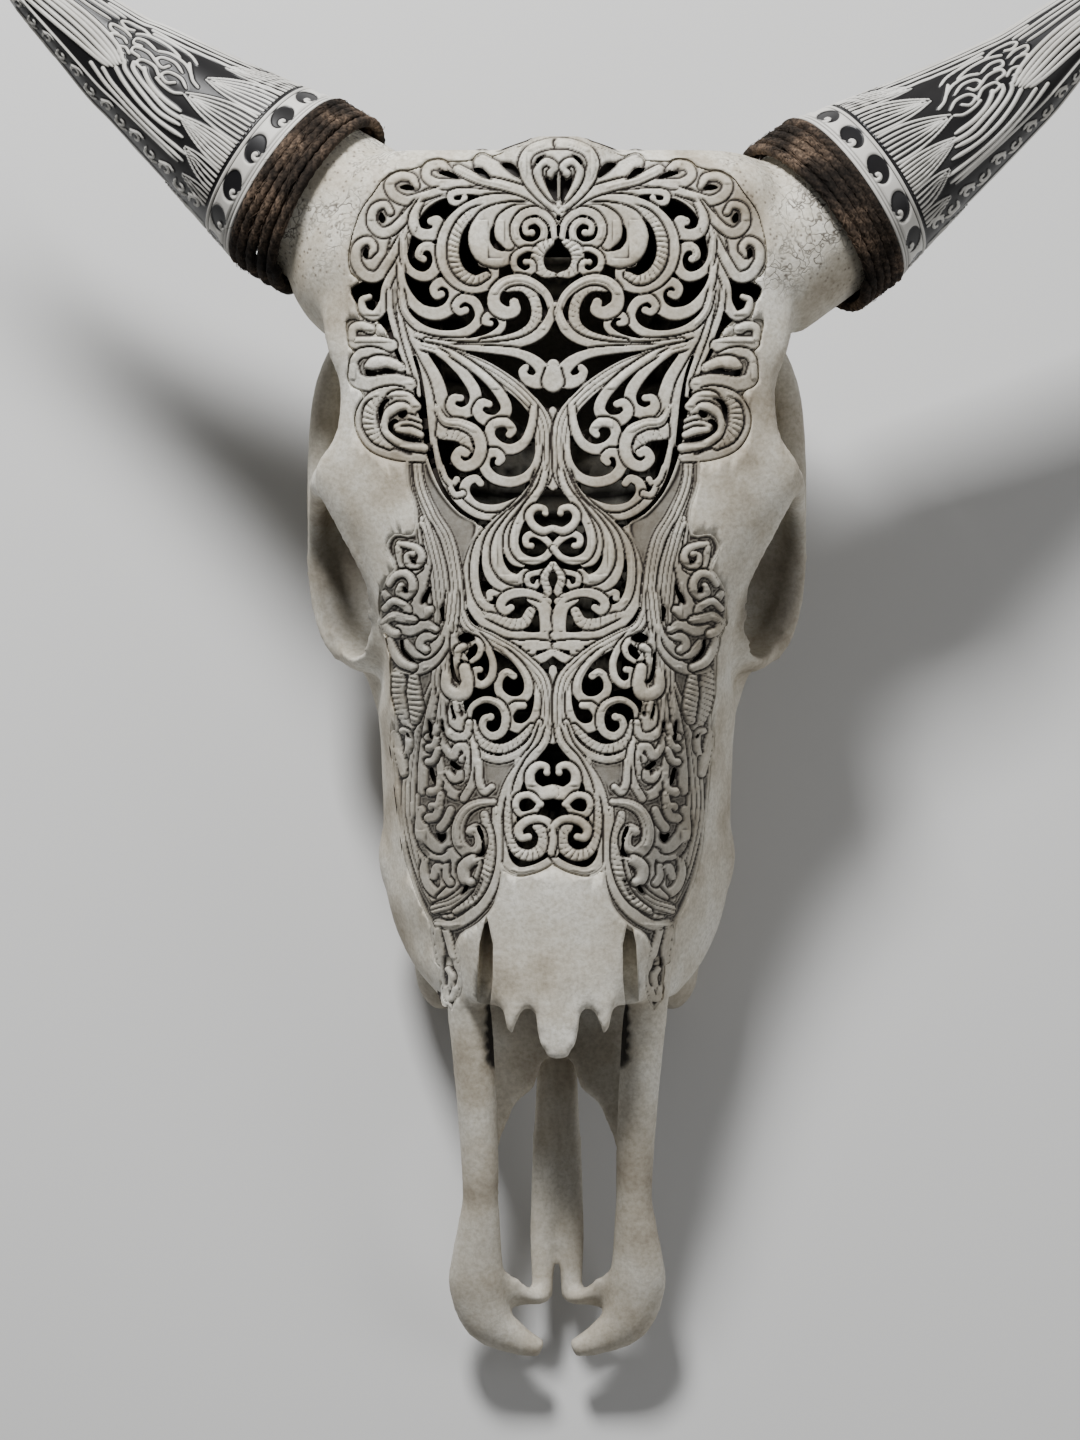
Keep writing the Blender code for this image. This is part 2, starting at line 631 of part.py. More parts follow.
def make_horn(name, side):
    step = ROPE_START + ROPE_BAND + CLEARANCE
    hollow = horn_rings(side, spread(0, HORN_HOLLOW, HOLLOW_RINGS), hollow_radius)
    seat = horn_rings(side, spread(0, step, 2), lambda s: ROPE_SEAT_RADIUS)
    taper = horn_rings(side, spread(step, HORN_LENGTH, HORN_RING_COUNT), taper_radius)
    bm = bmesh.new()
    add_loft(bm, hollow[::-1] + seat + taper)
    return new_object(name, bm, MATERIALS["horn"])


def add_horn_core(bm, side):
    """The bony core that the sheath sits on, a little short of the end of its hollow."""
    places = spread(-HORN_CORE_ROOT, HORN_CORE_LENGTH, HORN_CORE_RINGS)
    add_loft(bm, horn_rings(side, places, lambda s: hollow_radius(max(s, 0)) - HORN_CORE_GAP / 2))


def make_rope(name, side):
    """A winding of ROPE_TURNS turns round the base of the sheath."""
    bed = ROPE_SEAT_RADIUS + 3 * CLEARANCE

    def crown(s):
        turn = (s - ROPE_START) / ROPE_BAND * ROPE_TURNS
        return bed + ROPE_DIAMETER * (0.81 - 0.19 * math.cos(2 * math.pi * turn))

    places = spread(ROPE_START, ROPE_START + ROPE_BAND, 2 * ROPE_TURNS + 1)
    outside = horn_rings(side, places, crown, ROPE_SIDES)
    inside = horn_rings(side, [places[0], places[-1]], lambda s: bed, ROPE_SIDES)
    bm = bmesh.new()
    add_loft(bm, outside + inside[::-1], endless=True)
    return new_object(name, bm, MATERIALS["rope"])


def sheath_cutter():
    """Keeps the bony cores clear of the sheaths, and the bosses clear of sheath and rope."""
    bm = bmesh.new()
    places = spread(-CLEARANCE, HORN_HOLLOW, HOLLOW_RINGS)
    for side in (-1, 1):
        inner = horn_rings(side, places, lambda s: hollow_radius(max(s, 0)) - HORN_CORE_GAP)
        outer = horn_rings(side, places, lambda s: BOSS_TRIM_RADIUS)
        add_loft(bm, outer + inner[::-1], endless=True)
    return new_object("sheath_cutter", bm, helper=True)


def make_skull(frame):
    block = skull_block()
    hollows = skull_hollows()
    subtract(block, hollows)
    settle(block)
    skull = skull_outworks(block)
    remesh(skull, SKULL_VOXEL, smoothing=3)
    settle(skull)
    thin = skull.modifiers.new("thin_out", "DECIMATE")
    thin.ratio = SKULL_TRIANGLES / triangle_count(skull)
    settle(skull)
    sockets = make_teeth(frame)
    for cutter in (sheath_cutter(), carving_cutter(), sockets, table_cutter()):
        subtract(skull, cutter)
        cutter.parent = frame
    skull.parent = frame
    for spent in (block, hollows):
        bpy.data.objects.remove(spent, do_unlink=True)
    return skull


def centre_on_origin(frame, pieces):
    """Slides the frame along the table until the object's box is centred on the origin."""
    bpy.context.view_layer.update()
    graph = bpy.context.evaluated_depsgraph_get()
    found = []
    for obj in pieces:
        done = obj.evaluated_get(graph)
        found += [done.matrix_world @ v.co for v in done.data.vertices]
    for axis in (0, 1):
        places = [point[axis] for point in found]
        frame.location[axis] -= (min(places) + max(places)) / 2


def main():
    frame = bpy.data.objects.new("skull_frame", None)
    bpy.context.scene.collection.objects.link(frame)
    frame.location = (0, 0, FACE_HEIGHT * MM)
    frame.rotation_euler = (FACE_SLOPE, 0, 0)
    pieces = [make_skull(frame)]
    for word, side in (("left", -1), ("right", 1)):
        pieces.append(make_horn(f"{word}_horn", side))
        pieces.append(make_rope(f"{word}_horn_rope", side))
    for piece in pieces:
        piece.parent = frame
        piece.data.shade_smooth()
        piece.data.set_sharp_from_angle(angle=math.radians(40))
    centre_on_origin(frame, pieces)


clear_scene()
MATERIALS = {
    "bone": material("bone", BONE, 0.6),
    "tooth": material("tooth", TOOTH_IVORY, 0.4),
    "horn": material("horn", HORN_BLACK, 0.35),
    "rope": material("rope", ROPE_BROWN, 0.9),
}
main()
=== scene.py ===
import math
import json
import time

import bmesh
import bpy
import numpy as np
from mathutils import Matrix, Vector
from mathutils.bvhtree import BVHTree

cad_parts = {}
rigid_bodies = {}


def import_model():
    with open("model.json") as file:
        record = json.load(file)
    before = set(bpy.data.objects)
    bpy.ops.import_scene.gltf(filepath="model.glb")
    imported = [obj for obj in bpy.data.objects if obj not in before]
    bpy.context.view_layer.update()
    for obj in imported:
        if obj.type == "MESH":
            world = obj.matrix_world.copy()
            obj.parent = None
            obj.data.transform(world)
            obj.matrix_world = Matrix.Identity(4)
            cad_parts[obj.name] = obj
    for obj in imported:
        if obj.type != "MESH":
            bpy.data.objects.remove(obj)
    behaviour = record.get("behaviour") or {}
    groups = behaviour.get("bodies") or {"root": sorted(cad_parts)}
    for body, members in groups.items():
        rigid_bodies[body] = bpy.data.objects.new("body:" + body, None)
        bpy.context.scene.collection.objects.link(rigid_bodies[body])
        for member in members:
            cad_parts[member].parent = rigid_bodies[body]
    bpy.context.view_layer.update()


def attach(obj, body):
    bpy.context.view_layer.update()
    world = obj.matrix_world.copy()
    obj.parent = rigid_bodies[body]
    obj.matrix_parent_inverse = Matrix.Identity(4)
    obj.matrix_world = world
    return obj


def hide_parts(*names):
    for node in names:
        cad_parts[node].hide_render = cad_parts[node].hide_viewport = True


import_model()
started = time.time()


def report(stage):
    print(f"{stage}: {time.time() - started:.0f} s")


# Everything is drawn in the face frame, in millimetres: x to the side, y up the face from the
# snout tip, z out of the forehead. toWorld lays that frame on the table.
faceFrame = {"slope": math.radians(13), "shift": (-0.034, -335.473, 98.0), "mm": 0.001}
eye = {"x": -7.4, "y": 263.0, "away": 1400.0, "lens": 85.36}


def toWorld(points):
    """Turned by the slope about x, moved, and in metres."""
    p = np.asarray(points, float)
    c, s = math.cos(faceFrame["slope"]), math.sin(faceFrame["slope"])
    turned = np.stack([p[..., 0], p[..., 1] * c - p[..., 2] * s, p[..., 1] * s + p[..., 2] * c], -1)
    return (turned + faceFrame["shift"]) * faceFrame["mm"]


def toFace(points):
    """The other way round."""
    p = np.asarray(points, float) / faceFrame["mm"] - faceFrame["shift"]
    c, s = math.cos(faceFrame["slope"]), math.sin(faceFrame["slope"])
    return np.stack([p[..., 0], p[..., 1] * c + p[..., 2] * s, -p[..., 1] * s + p[..., 2] * c], -1)


def seenAt(points):
    """Where a point appears on the plane z = 0 from the eye."""
    t = eye["away"] / (eye["away"] - points[..., 2])
    return eye["x"] + (points[..., 0] - eye["x"]) * t, eye["y"] + (points[..., 1] - eye["y"]) * t


def alongSight(X, Y, z):
    """The point at depth z that appears at X, Y."""
    t = 1 - z / eye["away"]
    return np.stack([eye["x"] + (X - eye["x"]) * t, eye["y"] + (Y - eye["y"]) * t, z + 0 * X], -1)


def ease(low, high, value):
    """0 up to low, 1 from high on, and a smooth slope between them."""
    t = np.clip((value - low) / (high - low), 0, 1)
    return t * t * (3 - 2 * t)


def spline(points, steps, endless=False):
    """Catmull-Rom curve through the points, with steps places between each two."""
    p = np.asarray(points, float)
    if endless:
        k = np.concatenate([p[-1:], p, p[:2]])
    else:
        k = np.concatenate([2 * p[:1] - p[1:2], p, 2 * p[-1:] - p[-2:-1]])
    t = (np.arange(steps) / steps).reshape((-1,) + (1,) * (p.ndim - 1))
    a, b, c, d = k[:-3, None], k[1:-2, None], k[2:-1, None], k[3:, None]
    curve = 0.5 * (2 * b + (c - a) * t + (2 * a - 5 * b + 4 * c - d) * t**2 + (3 * b - a - 3 * c + d) * t**3)
    curve = curve.reshape((-1,) + p.shape[1:])
    return curve if endless else np.concatenate([curve, p[-1:]])


def unit(vectors):
    return vectors / np.maximum(np.linalg.norm(vectors, axis=-1, keepdims=True), 1e-9)


def shared(values, count):
    """The values spread evenly over count places."""
    return np.interp(np.linspace(0, 1, count), np.linspace(0, 1, len(values)), values)


# Plain bodies, each as (points, faces)

def loft(rings, endless=False):
    """Rings of points in order, joined by quads, with a fan to the middle of each end ring."""
    rings = np.asarray(rings, float)
    n, m = rings.shape[:2]
    i, j = np.meshgrid(np.arange(n if endless else n - 1), np.arange(m), indexing="ij")
    after, beside = (i + 1) % n, (j + 1) % m
    faces = np.stack([i * m + j, i * m + beside, after * m + beside, after * m + j], -1).reshape(-1, 4).tolist()
    points = rings.reshape(-1, 3)
    if not endless:
        points = np.vstack([points, rings[0].mean(0), rings[-1].mean(0)])
        k = np.arange(m)
        last = (n - 1) * m
        faces += np.stack([np.full(m, n * m), (k + 1) % m, k], -1).tolist()
        faces += np.stack([np.full(m, n * m + 1), last + k, last + (k + 1) % m], -1).tolist()
    return points, faces


def ovals(path, side, up, wide, deep, sides):
    """A ring of sides points round each point of the path: side * wide * cos + up * deep * sin."""
    a = 2 * math.pi * np.arange(sides) / sides
    across = side[:, None] * (wide[:, None] * np.cos(a))[..., None]
    return path[:, None] + across + up[:, None] * (deep[:, None] * np.sin(a))[..., None]


def tube(points, wide, deep, across=(1, 0, 0), sides=14, steps=5):
    """An oval carried along a smooth line."""
    path = spline(points, steps)
    along = unit(np.gradient(path, axis=0))
    side = unit(np.array(across, float) - along * (along @ np.array(across, float))[:, None])
    count = len(path)
    return loft(ovals(path, side, np.cross(along, side), shared(wide, count), shared(deep, count), sides))


def hoop(points, radius):
    """A closed ring of round section through the points."""
    path = spline(points, 4, endless=True)
    along = unit(np.roll(path, -1, 0) - np.roll(path, 1, 0))
    out = path - path.mean(0)
    out = unit(out - along * (out * along).sum(1)[:, None])
    thick = np.full(len(path), radius)
    return loft(ovals(path, out, np.cross(along, out), thick, thick, 10), endless=True)


def ball(centre, radii, turn=None):
    """An ellipsoid, its own axes turned by a 3x3 matrix."""
    lat = np.linspace(0.12, math.pi - 0.12, 18)
    a = 2 * math.pi * np.arange(28) / 28
    ring = np.stack(np.broadcast_arrays(np.sin(lat)[:, None] * np.cos(a), np.sin(lat)[:, None] * np.sin(a),
                                        np.cos(lat)[:, None]), -1) * radii
    points, faces = loft(ring)
    points[-2:] = [(0, 0, radii[2]), (0, 0, -radii[2])]
    if turn is not None:
        points = points @ np.asarray(turn).T
    return points + centre, faces


def plate(outline, height, thickness):
    """A sheet with a drawn outline, its upper face at height(x, y)."""
    xy = np.asarray(outline, float)
    top = np.column_stack([xy, height(xy[:, 0], xy[:, 1])])
    n = len(xy)
    k = np.arange(n)
    walls = np.stack([k, (k + 1) % n, n + (k + 1) % n, n + k], -1).tolist()
    return np.vstack([top, top - (0, 0, thickness)]), walls + [list(range(n))[::-1], list(range(n, 2 * n))]


def flipped(form):
    """The mirror image at the other side."""
    points, faces = form
    return points * (-1, 1, 1), [face[::-1] for face in faces]


def newObject(name, points, faces, world=False):
    """An object at the origin; points in the face frame, unless they are in the world's already."""
    mesh = bpy.data.meshes.new(name)
    if isinstance(faces, list):
        mesh.from_pydata((points if world else toWorld(points)).tolist(), [], faces)
    else:
        where = points if world else toWorld(points)
        mesh.vertices.add(len(where))
        mesh.vertices.foreach_set("co", where.astype(np.float32).ravel())
        keep = faces >= 0
        sizes = keep.sum(1)
        mesh.loops.add(int(sizes.sum()))
        mesh.loops.foreach_set("vertex_index", faces[keep].astype(np.int32))
        mesh.polygons.add(len(faces))
        mesh.polygons.foreach_set("loop_start", (np.cumsum(sizes) - sizes).astype(np.int32))
        mesh.update(calc_edges=True)
    obj = bpy.data.objects.new(name, mesh)
    bpy.context.scene.collection.objects.link(obj)
    return obj


def gathered(name, forms):
    points, faces, start = [], [], 0
    for where, some in forms:
        points.append(where)
        faces += [[start + v for v in face] for face in some]
        start += len(where)
    obj = newObject(name, np.vstack(points), faces)
    shell = bmesh.new()
    shell.from_mesh(obj.data)
    bmesh.ops.recalc_face_normals(shell, faces=shell.faces)
    shell.to_mesh(obj.data)
    shell.free()
    return obj


def settled(obj, **modifiers):
    """Applies the modifiers, given as name = (kind, settings)."""
    for name, (kind, settings) in modifiers.items():
        added = obj.modifiers.new(name, kind)
        for key, value in settings.items():
            setattr(added, key, value)
    graph = bpy.context.evaluated_depsgraph_get()
    made = bpy.data.meshes.new_from_object(obj.evaluated_get(graph))
    obj.modifiers.clear()
    obj.data = made
    return obj


def removed(*objects):
    for obj in objects:
        bpy.data.objects.remove(obj, do_unlink=True)


def coordinates(obj):
    flat = np.empty(len(obj.data.vertices) * 3, np.float32)
    obj.data.vertices.foreach_get("co", flat)
    return flat.reshape(-1, 3).astype(float)


def store(obj, name, values):
    """One number for each vertex, for the shaders."""
    kept = obj.data.attributes.new(name, "FLOAT", "POINT")
    kept.data.foreach_set("value", np.asarray(values, np.float32))


# Skull: half outlines (x, z) at each y, from the midline over the top and round to the midline below
skull = {
    "voxel": 0.0021,
    "sections": {
        499: [(0, -9), (42, -10), (70, -14), (82, -34), (78, -60), (68, -85), (54, -112), (28, -130), (0, -133)],
        485: [(0, 0), (50, -1), (84, -7), (94, -32), (88, -60), (76, -90), (60, -122), (32, -144), (0, -147)],
        452: [(0, 1), (50, -1), (84, -6), (99, -24), (80, -50), (68, -82), (62, -120), (34, -147), (0, -150)],
        420: [(0, 1), (50, -2), (82, -8), (97, -20), (70, -38), (58, -76), (52, -114), (30, -138), (0, -142)],
        402: [(0, 0), (50, -2), (78, -9), (91, -21), (68, -38), (57, -75), (48, -110), (27, -132), (0, -136)],
        382: [(0, 0), (50, -3), (80, -12), (93, -24), (66, -40), (54, -75), (44, -104), (25, -124), (0, -128)],
        364: [(0, 0), (50, -4), (84, -16), (102, -31), (64, -48), (50, -75), (38, -100), (20, -118), (0, -122)],
        335: [(0, 0), (44, -4), (70, -15), (84, -33), (58, -54), (44, -80), (32, -104), (18, -116), (0, -118)],
        305: [(0, -1), (36, -4), (58, -14), (75, -36), (62, -60), (54, -92), (50, -122), (22, -122), (0, -118)],
        275: [(0, -1), (30, -4), (52, -16), (68, -38), (76, -66), (74, -98), (66, -134), (38, -130), (0, -114)],
        249: [(0, -2), (27, -5), (47, -17), (63, -42), (74, -72), (76, -98), (65, -134), (40, -126), (0, -108)],
        225: [(0, -3), (27, -6), (44, -18), (61, -44), (73, -76), (75, -98), (62, -130), (39, -119), (0, -102)],
        203: [(0, -3), (26, -7), (41, -20), (58, -47), (73, -80), (75, -98), (59, -122), (38, -112), (0, -97)],
        186: [(0, -4), (25, -8), (39, -20), (56, -47), (71, -77), (73, -95), (58, -115), (36, -107), (0, -94)],
        170: [(0, -6), (25, -10), (37, -20), (51, -46), (65, -74), (69, -92), (55, -108), (34, -102), (0, -90)],
        156: [(0, -7), (23, -11), (34, -21), (47, -44), (58, -66), (61, -84), (48, -100), (30, -97), (0, -87)],
        144: [(0, -9), (21, -13), (31, -23), (42, -42), (49, -60), (50, -78), (42, -92), (28, -90), (0, -84)],
    },
    "pollKnob": ((0, 491.5, -7), (25, 11.5, 10)),
    "knobs": [  # horn boss, neck condyle, ear bulla, cheek knob, arch root
        ((73, 459, -40), (42, 42, 37)), ((23, 487, -143), (16, 17, 20)), ((38, 436, -148), (12, 18, 16)),
        ((68, 204, -92), (10, 20, 14)), ((78, 440, -101), (18, 14, 10)),
    ],
    "orbit": {"centre": (88, 323, -66), "lean": 66, "bone": (-13, (33, 40, 29)), "space": (-2, (27, 34, 32))},
    "rim": [(98.5, 362, -33), (86, 340, -33), (75, 316, -39), (74, 297, -54), (82, 287, -71), (91, 290, -84),
            (99, 300, -91), (103.5, 315, -95), (105, 331, -93), (104, 347, -80), (101.5, 358, -57)],
    "rimRadius": 4.4,
    "base": ([(0, 480, -146), (0, 400, -140), (0, 330, -120)], [20, 15, 12], [14, 14, 10]),
    "bars": [
        # cheek arch
        ([(64, 240, -92), (73, 268, -90), (80, 286, -90), (93, 300, -93), (101, 318, -97), (102.5, 340, -97),
          (102, 362, -96), (101.5, 388, -97), (99, 408, -98), (93.5, 424, -100), (83, 438, -101), (66, 450, -100)],
         [9, 5.5, 5, 4.5, 6, 6.5, 7.5, 7.5, 7.5, 6.5, 6, 6], [10, 10, 9, 9, 9, 9, 9, 8, 8, 9, 11, 12]),
        # bar behind the eye
        ([(104, 340, -90), (103, 355, -76), (100.5, 363, -56), (96.5, 364, -32)], [4.5, 4.5, 5, 6], [6, 7, 7, 8]),
        # snout
        ([(41, 172, -42), (39.5, 152, -45), (37, 136, -49), (34, 94, -56), (32.9, 58, -61),
          (34.6, 23, -68), (30, 5, -72), (18, -4, -74), (6.5, -8.5, -74)],
         [7, 8.5, 9.5, 8.6, 7.8, 12.6, 11, 7, 3.8], [8, 10, 10, 9, 8, 9.5, 9, 6.5, 4.5]),
        ([(27, 19, -73), (16, 14, -76), (6, 13, -79)], [9, 8, 7], [4, 3, 3.5]),
        ([(4.4, 150, -92), (4.3, 116, -88), (5.3, 80, -85), (6.3, 40, -82), (6.2, 12, -80)],
         [3.8, 4.4, 5.4, 5.9, 4.4], [4.5]),
        # leg beside the neck opening
        ([(50, 470, -110), (53, 463, -150), (50.2, 457, -178), (47.8, 452.4, -204.6)], [15, 13, 7.5, 4.2], [15, 15, 11.5, 6.5]),
    ],
    "wing": ([(24, 270, -126), (20, 310, -136), (17, 345, -132)], [5, 4, 4], [12, 16, 12]),
    "toothRidge": ([(46, 157), (50, 168), (53, 202), (60, 262), (59, 306)], [6, 12, 13, 13, 11], [8, 12, 15, 16, 14]),
    "ridgeHeight": 28,
    "passages": [
        ([(0, 95, -38), (0, 150, -42), (0, 215, -45), (0, 280, -44), (0, 330, -40)], [22, 23, 24, 28, 35],
         [24, 29, 36, 37, 32]),
        ([(0, 120, -52), (0, 150, -56), (0, 215, -64), (0, 272, -74)], [32, 40, 55, 50], [18, 20, 30, 34]),
        ([(0, 310, -36), (0, 360, -38), (0, 410, -48), (0, 448, -56), (0, 470, -58)], [34, 42, 54, 60, 50],
         [27, 31, 41, 40, 30]),
        ([(0, 445, -112), (0, 485, -132), (0, 515, -141)], [18, 16, 16], [17, 14, 14]),
        ([(0, 300, -100), (0, 330, -128), (0, 352, -140)], [14, 14, 13], [12, 14, 12]),
    ],
    "brain": ((0, 432, -98), (42, 48, 36)),
    "temple": ((92, 408, -80), (21, 38, 38)),
    "nasalTip": [(-1, 122.5), (3.5, 123), (8, 130), (9.2, 143), (12.3, 152), (16, 141), (19.8, 130),
                 (22.5, 141), (24.5, 157), (26, 178), (27, 230), (-1, 230)],
    "nasalSlit": [(29.5, 183), (32.5, 170), (33.5, 155), (34, 136), (29, 136), (27, 155), (26.8, 170)],
    "floorEdge": [(-1, 117), (6, 117), (10, 104), (18, 98), (24, 84), (28, 70), (31, 76), (32, 140), (32, 250),
                  (-1, 250)],
}


# Horns: each line runs from the base of the sheath to its tip, as it lies at the right
horn = {
    "length": 286.0, "taper": 46.0, "power": 1.5, "tip": 0.9, "sheathStart": 24.3,
    "lines": {
        -1: [(94.7, 479.3, -46), (114.7, 492, -50), (170.9, 533.6, -58), (193.7, 551.3, -60), (252, 606, -58),
             (301, 673, -42)],
        1: [(102.8, 469.6, -46), (121.5, 483.4, -50), (182.2, 525.6, -58), (210.9, 549, -60), (264.5, 602, -58),
            (301, 672, -42)],
    },
}


def hornFrames(side, s):
    """Place, the direction that starts the turn, and the one a quarter turn on, at each length s."""
    line = spline(horn["lines"][side], 12)
    lengths = np.concatenate([[0], np.cumsum(np.linalg.norm(np.diff(line, axis=0), axis=1))])
    lengths *= horn["length"] / lengths[-1]
    behind = line[0] - (line[1] - line[0]) * 30 / (lengths[1] - lengths[0])
    line, lengths = np.vstack([behind, line]), np.concatenate([[-30], lengths])
    place = np.stack([np.interp(s, lengths, line[:, k]) for k in range(3)], -1)
    ahead = np.stack([np.interp(s + 4, lengths, line[:, k]) - np.interp(s - 4, lengths, line[:, k]) for k in range(3)], -1)
    along = unit(ahead)
    first = unit(np.array((0, 0, 1.0)) - along * along[..., 2:])
    return place, first, np.cross(along, first)


def hornRadius(s):
    return np.maximum(horn["taper"] * np.maximum(1 - s / horn["length"], 0) ** horn["power"], horn["tip"])


def hornSurface(side, s, turn, radius):
    """Points at length s and angle turn, radius from the horn's line."""
    place, first, second = hornFrames(side, s)
    away = first * np.cos(turn)[..., None] + second * np.sin(turn)[..., None]
    return (place + away * radius[..., None]) * (side, 1, 1)


def hornBody(side, s, radius, sides):
    turn = np.linspace(0, 2 * math.pi, sides, endpoint=False)
    S, T = np.meshgrid(s, turn, indexing="ij")
    return loft(hornSurface(side, S, T, radius(S)))


def fromTable(x, y, z):
    """A point measured from the table, in the face frame."""
    c, s = math.cos(faceFrame["slope"]), math.sin(faceFrame["slope"])
    down = z - faceFrame["shift"][2]
    return (x, y * c + down * s, -y * s + down * c)


def orbitForm(side, inset, radii):
    """A round form that faces out of the eye socket."""
    orbit = skull["orbit"]
    lean = np.array(Matrix.Rotation(side * math.radians(orbit["lean"]), 3, "Y"))
    x, y, z = orbit["centre"]
    return ball(np.array((side * x, y, z)) + lean @ (0, 0, inset), radii, lean)


def skullRings():
    """The half outlines doubled and smoothed both ways: round each outline, and from one to the next."""
    rings = []
    for y, half in sorted(skull["sections"].items()):
        rings.append([(x, y, z) for x, z in half] + [(-x, y, z) for x, z in half[-2:0:-1]])
    rings = np.asarray(rings, float)
    around = spline(rings.transpose(1, 0, 2), 4, endless=True).transpose(1, 0, 2)
    return spline(around, 5)


def pairOf(form):
    return [form, flipped(form)]


def roughSkull():
    """Loft, knobs, arches and bars in one skin of small voxels, hollow inside."""
    ridgeLine, wide, deep = skull["toothRidge"]
    ridge = [fromTable(x, y, skull["ridgeHeight"]) for x, y in ridgeLine]
    block = [loft(skullRings()), ball(*skull["pollKnob"]), tube(*skull["base"])]
    block += pairOf(tube(ridge, wide, deep)) + pairOf(tube(*skull["wing"]))
    for centre, radii in skull["knobs"]:
        block += pairOf(ball(centre, radii))
    spaces = [tube(*passage) for passage in skull["passages"]] + [ball(*skull["brain"])]
    spaces += pairOf(ball(*skull["temple"]))
    for side in (-1, 1):
        block.append(orbitForm(side, *skull["orbit"]["bone"]))
        spaces.append(orbitForm(side, *skull["orbit"]["space"]))
    fine = {"mode": "VOXEL", "voxel_size": skull["voxel"] * 1.2}
    block = settled(gathered("block", block), skin=("REMESH", fine))
    spaces = settled(gathered("spaces", spaces), skin=("REMESH", fine))
    settled(block, hollow=("BOOLEAN", {"operation": "DIFFERENCE", "solver": "EXACT", "object": spaces}))
    seats = gathered("seats", [hornBody(side, np.linspace(-0.3, 60, 5), lambda s: 55 + 0 * s, 40) for side in (-1, 1)])
    settled(block, seat=("BOOLEAN", {"operation": "DIFFERENCE", "solver": "EXACT", "object": seats}))
    works = pairOf(hoop(skull["rim"], skull["rimRadius"]))
    for bar in skull["bars"]:
        works += pairOf(tube(*bar))
    nasal = plate(skull["nasalTip"], lambda x, y: -5 - (180 - y) * 0.08 - x * x * 0.008, 6)
    floor = plate(skull["floorEdge"], lambda x, y: -64 - (y - 80) * 0.13 - (30 - np.abs(x)) * 0.25, 5)
    cores = [hornBody(side, np.linspace(-25, 16, 6), lambda s: 34.6 + 0 * s, 24) for side in (-1, 1)]
    works = gathered("works", works + pairOf(nasal) + pairOf(floor) + cores)
    whole = joined("skull_bone", block, works)
    removed(spaces, seats)
    return settled(whole, skin=("REMESH", {"mode": "VOXEL", "voxel_size": skull["voxel"]}),
                   soft=("SMOOTH", {"factor": 0.5, "iterations": 4}))


def easeSockets(obj):
    """The torn inner lower corner of each eye socket, smoothed alone."""
    x, y, z = toFace(coordinates(obj)).T
    corner = np.hypot(np.hypot(np.abs(x) - 80, y - 292), z + 66) < 26
    obj.vertex_groups.new(name="socket").add(np.flatnonzero(corner).tolist(), 1.0, "REPLACE")
    return settled(obj, ease=("SMOOTH", {"factor": 0.5, "iterations": 30, "vertex_group": "socket"}))


def joined(name, *parts):
    """Several objects' meshes as one object."""
    points, faces, start = [], [], 0
    for part in parts:
        where = coordinates(part)
        mesh = part.data
        loops = np.empty(len(mesh.loops), np.int32)
        mesh.loops.foreach_get("vertex_index", loops)
        starts = np.empty(len(mesh.polygons), np.int32)
        mesh.polygons.foreach_get("loop_start", starts)
        faces += [run.tolist() for run in np.split(loops + start, starts[1:])]
        points.append(where)
        start += len(where)
    removed(*parts)
    return newObject(name, np.vstack(points), faces, world=True)



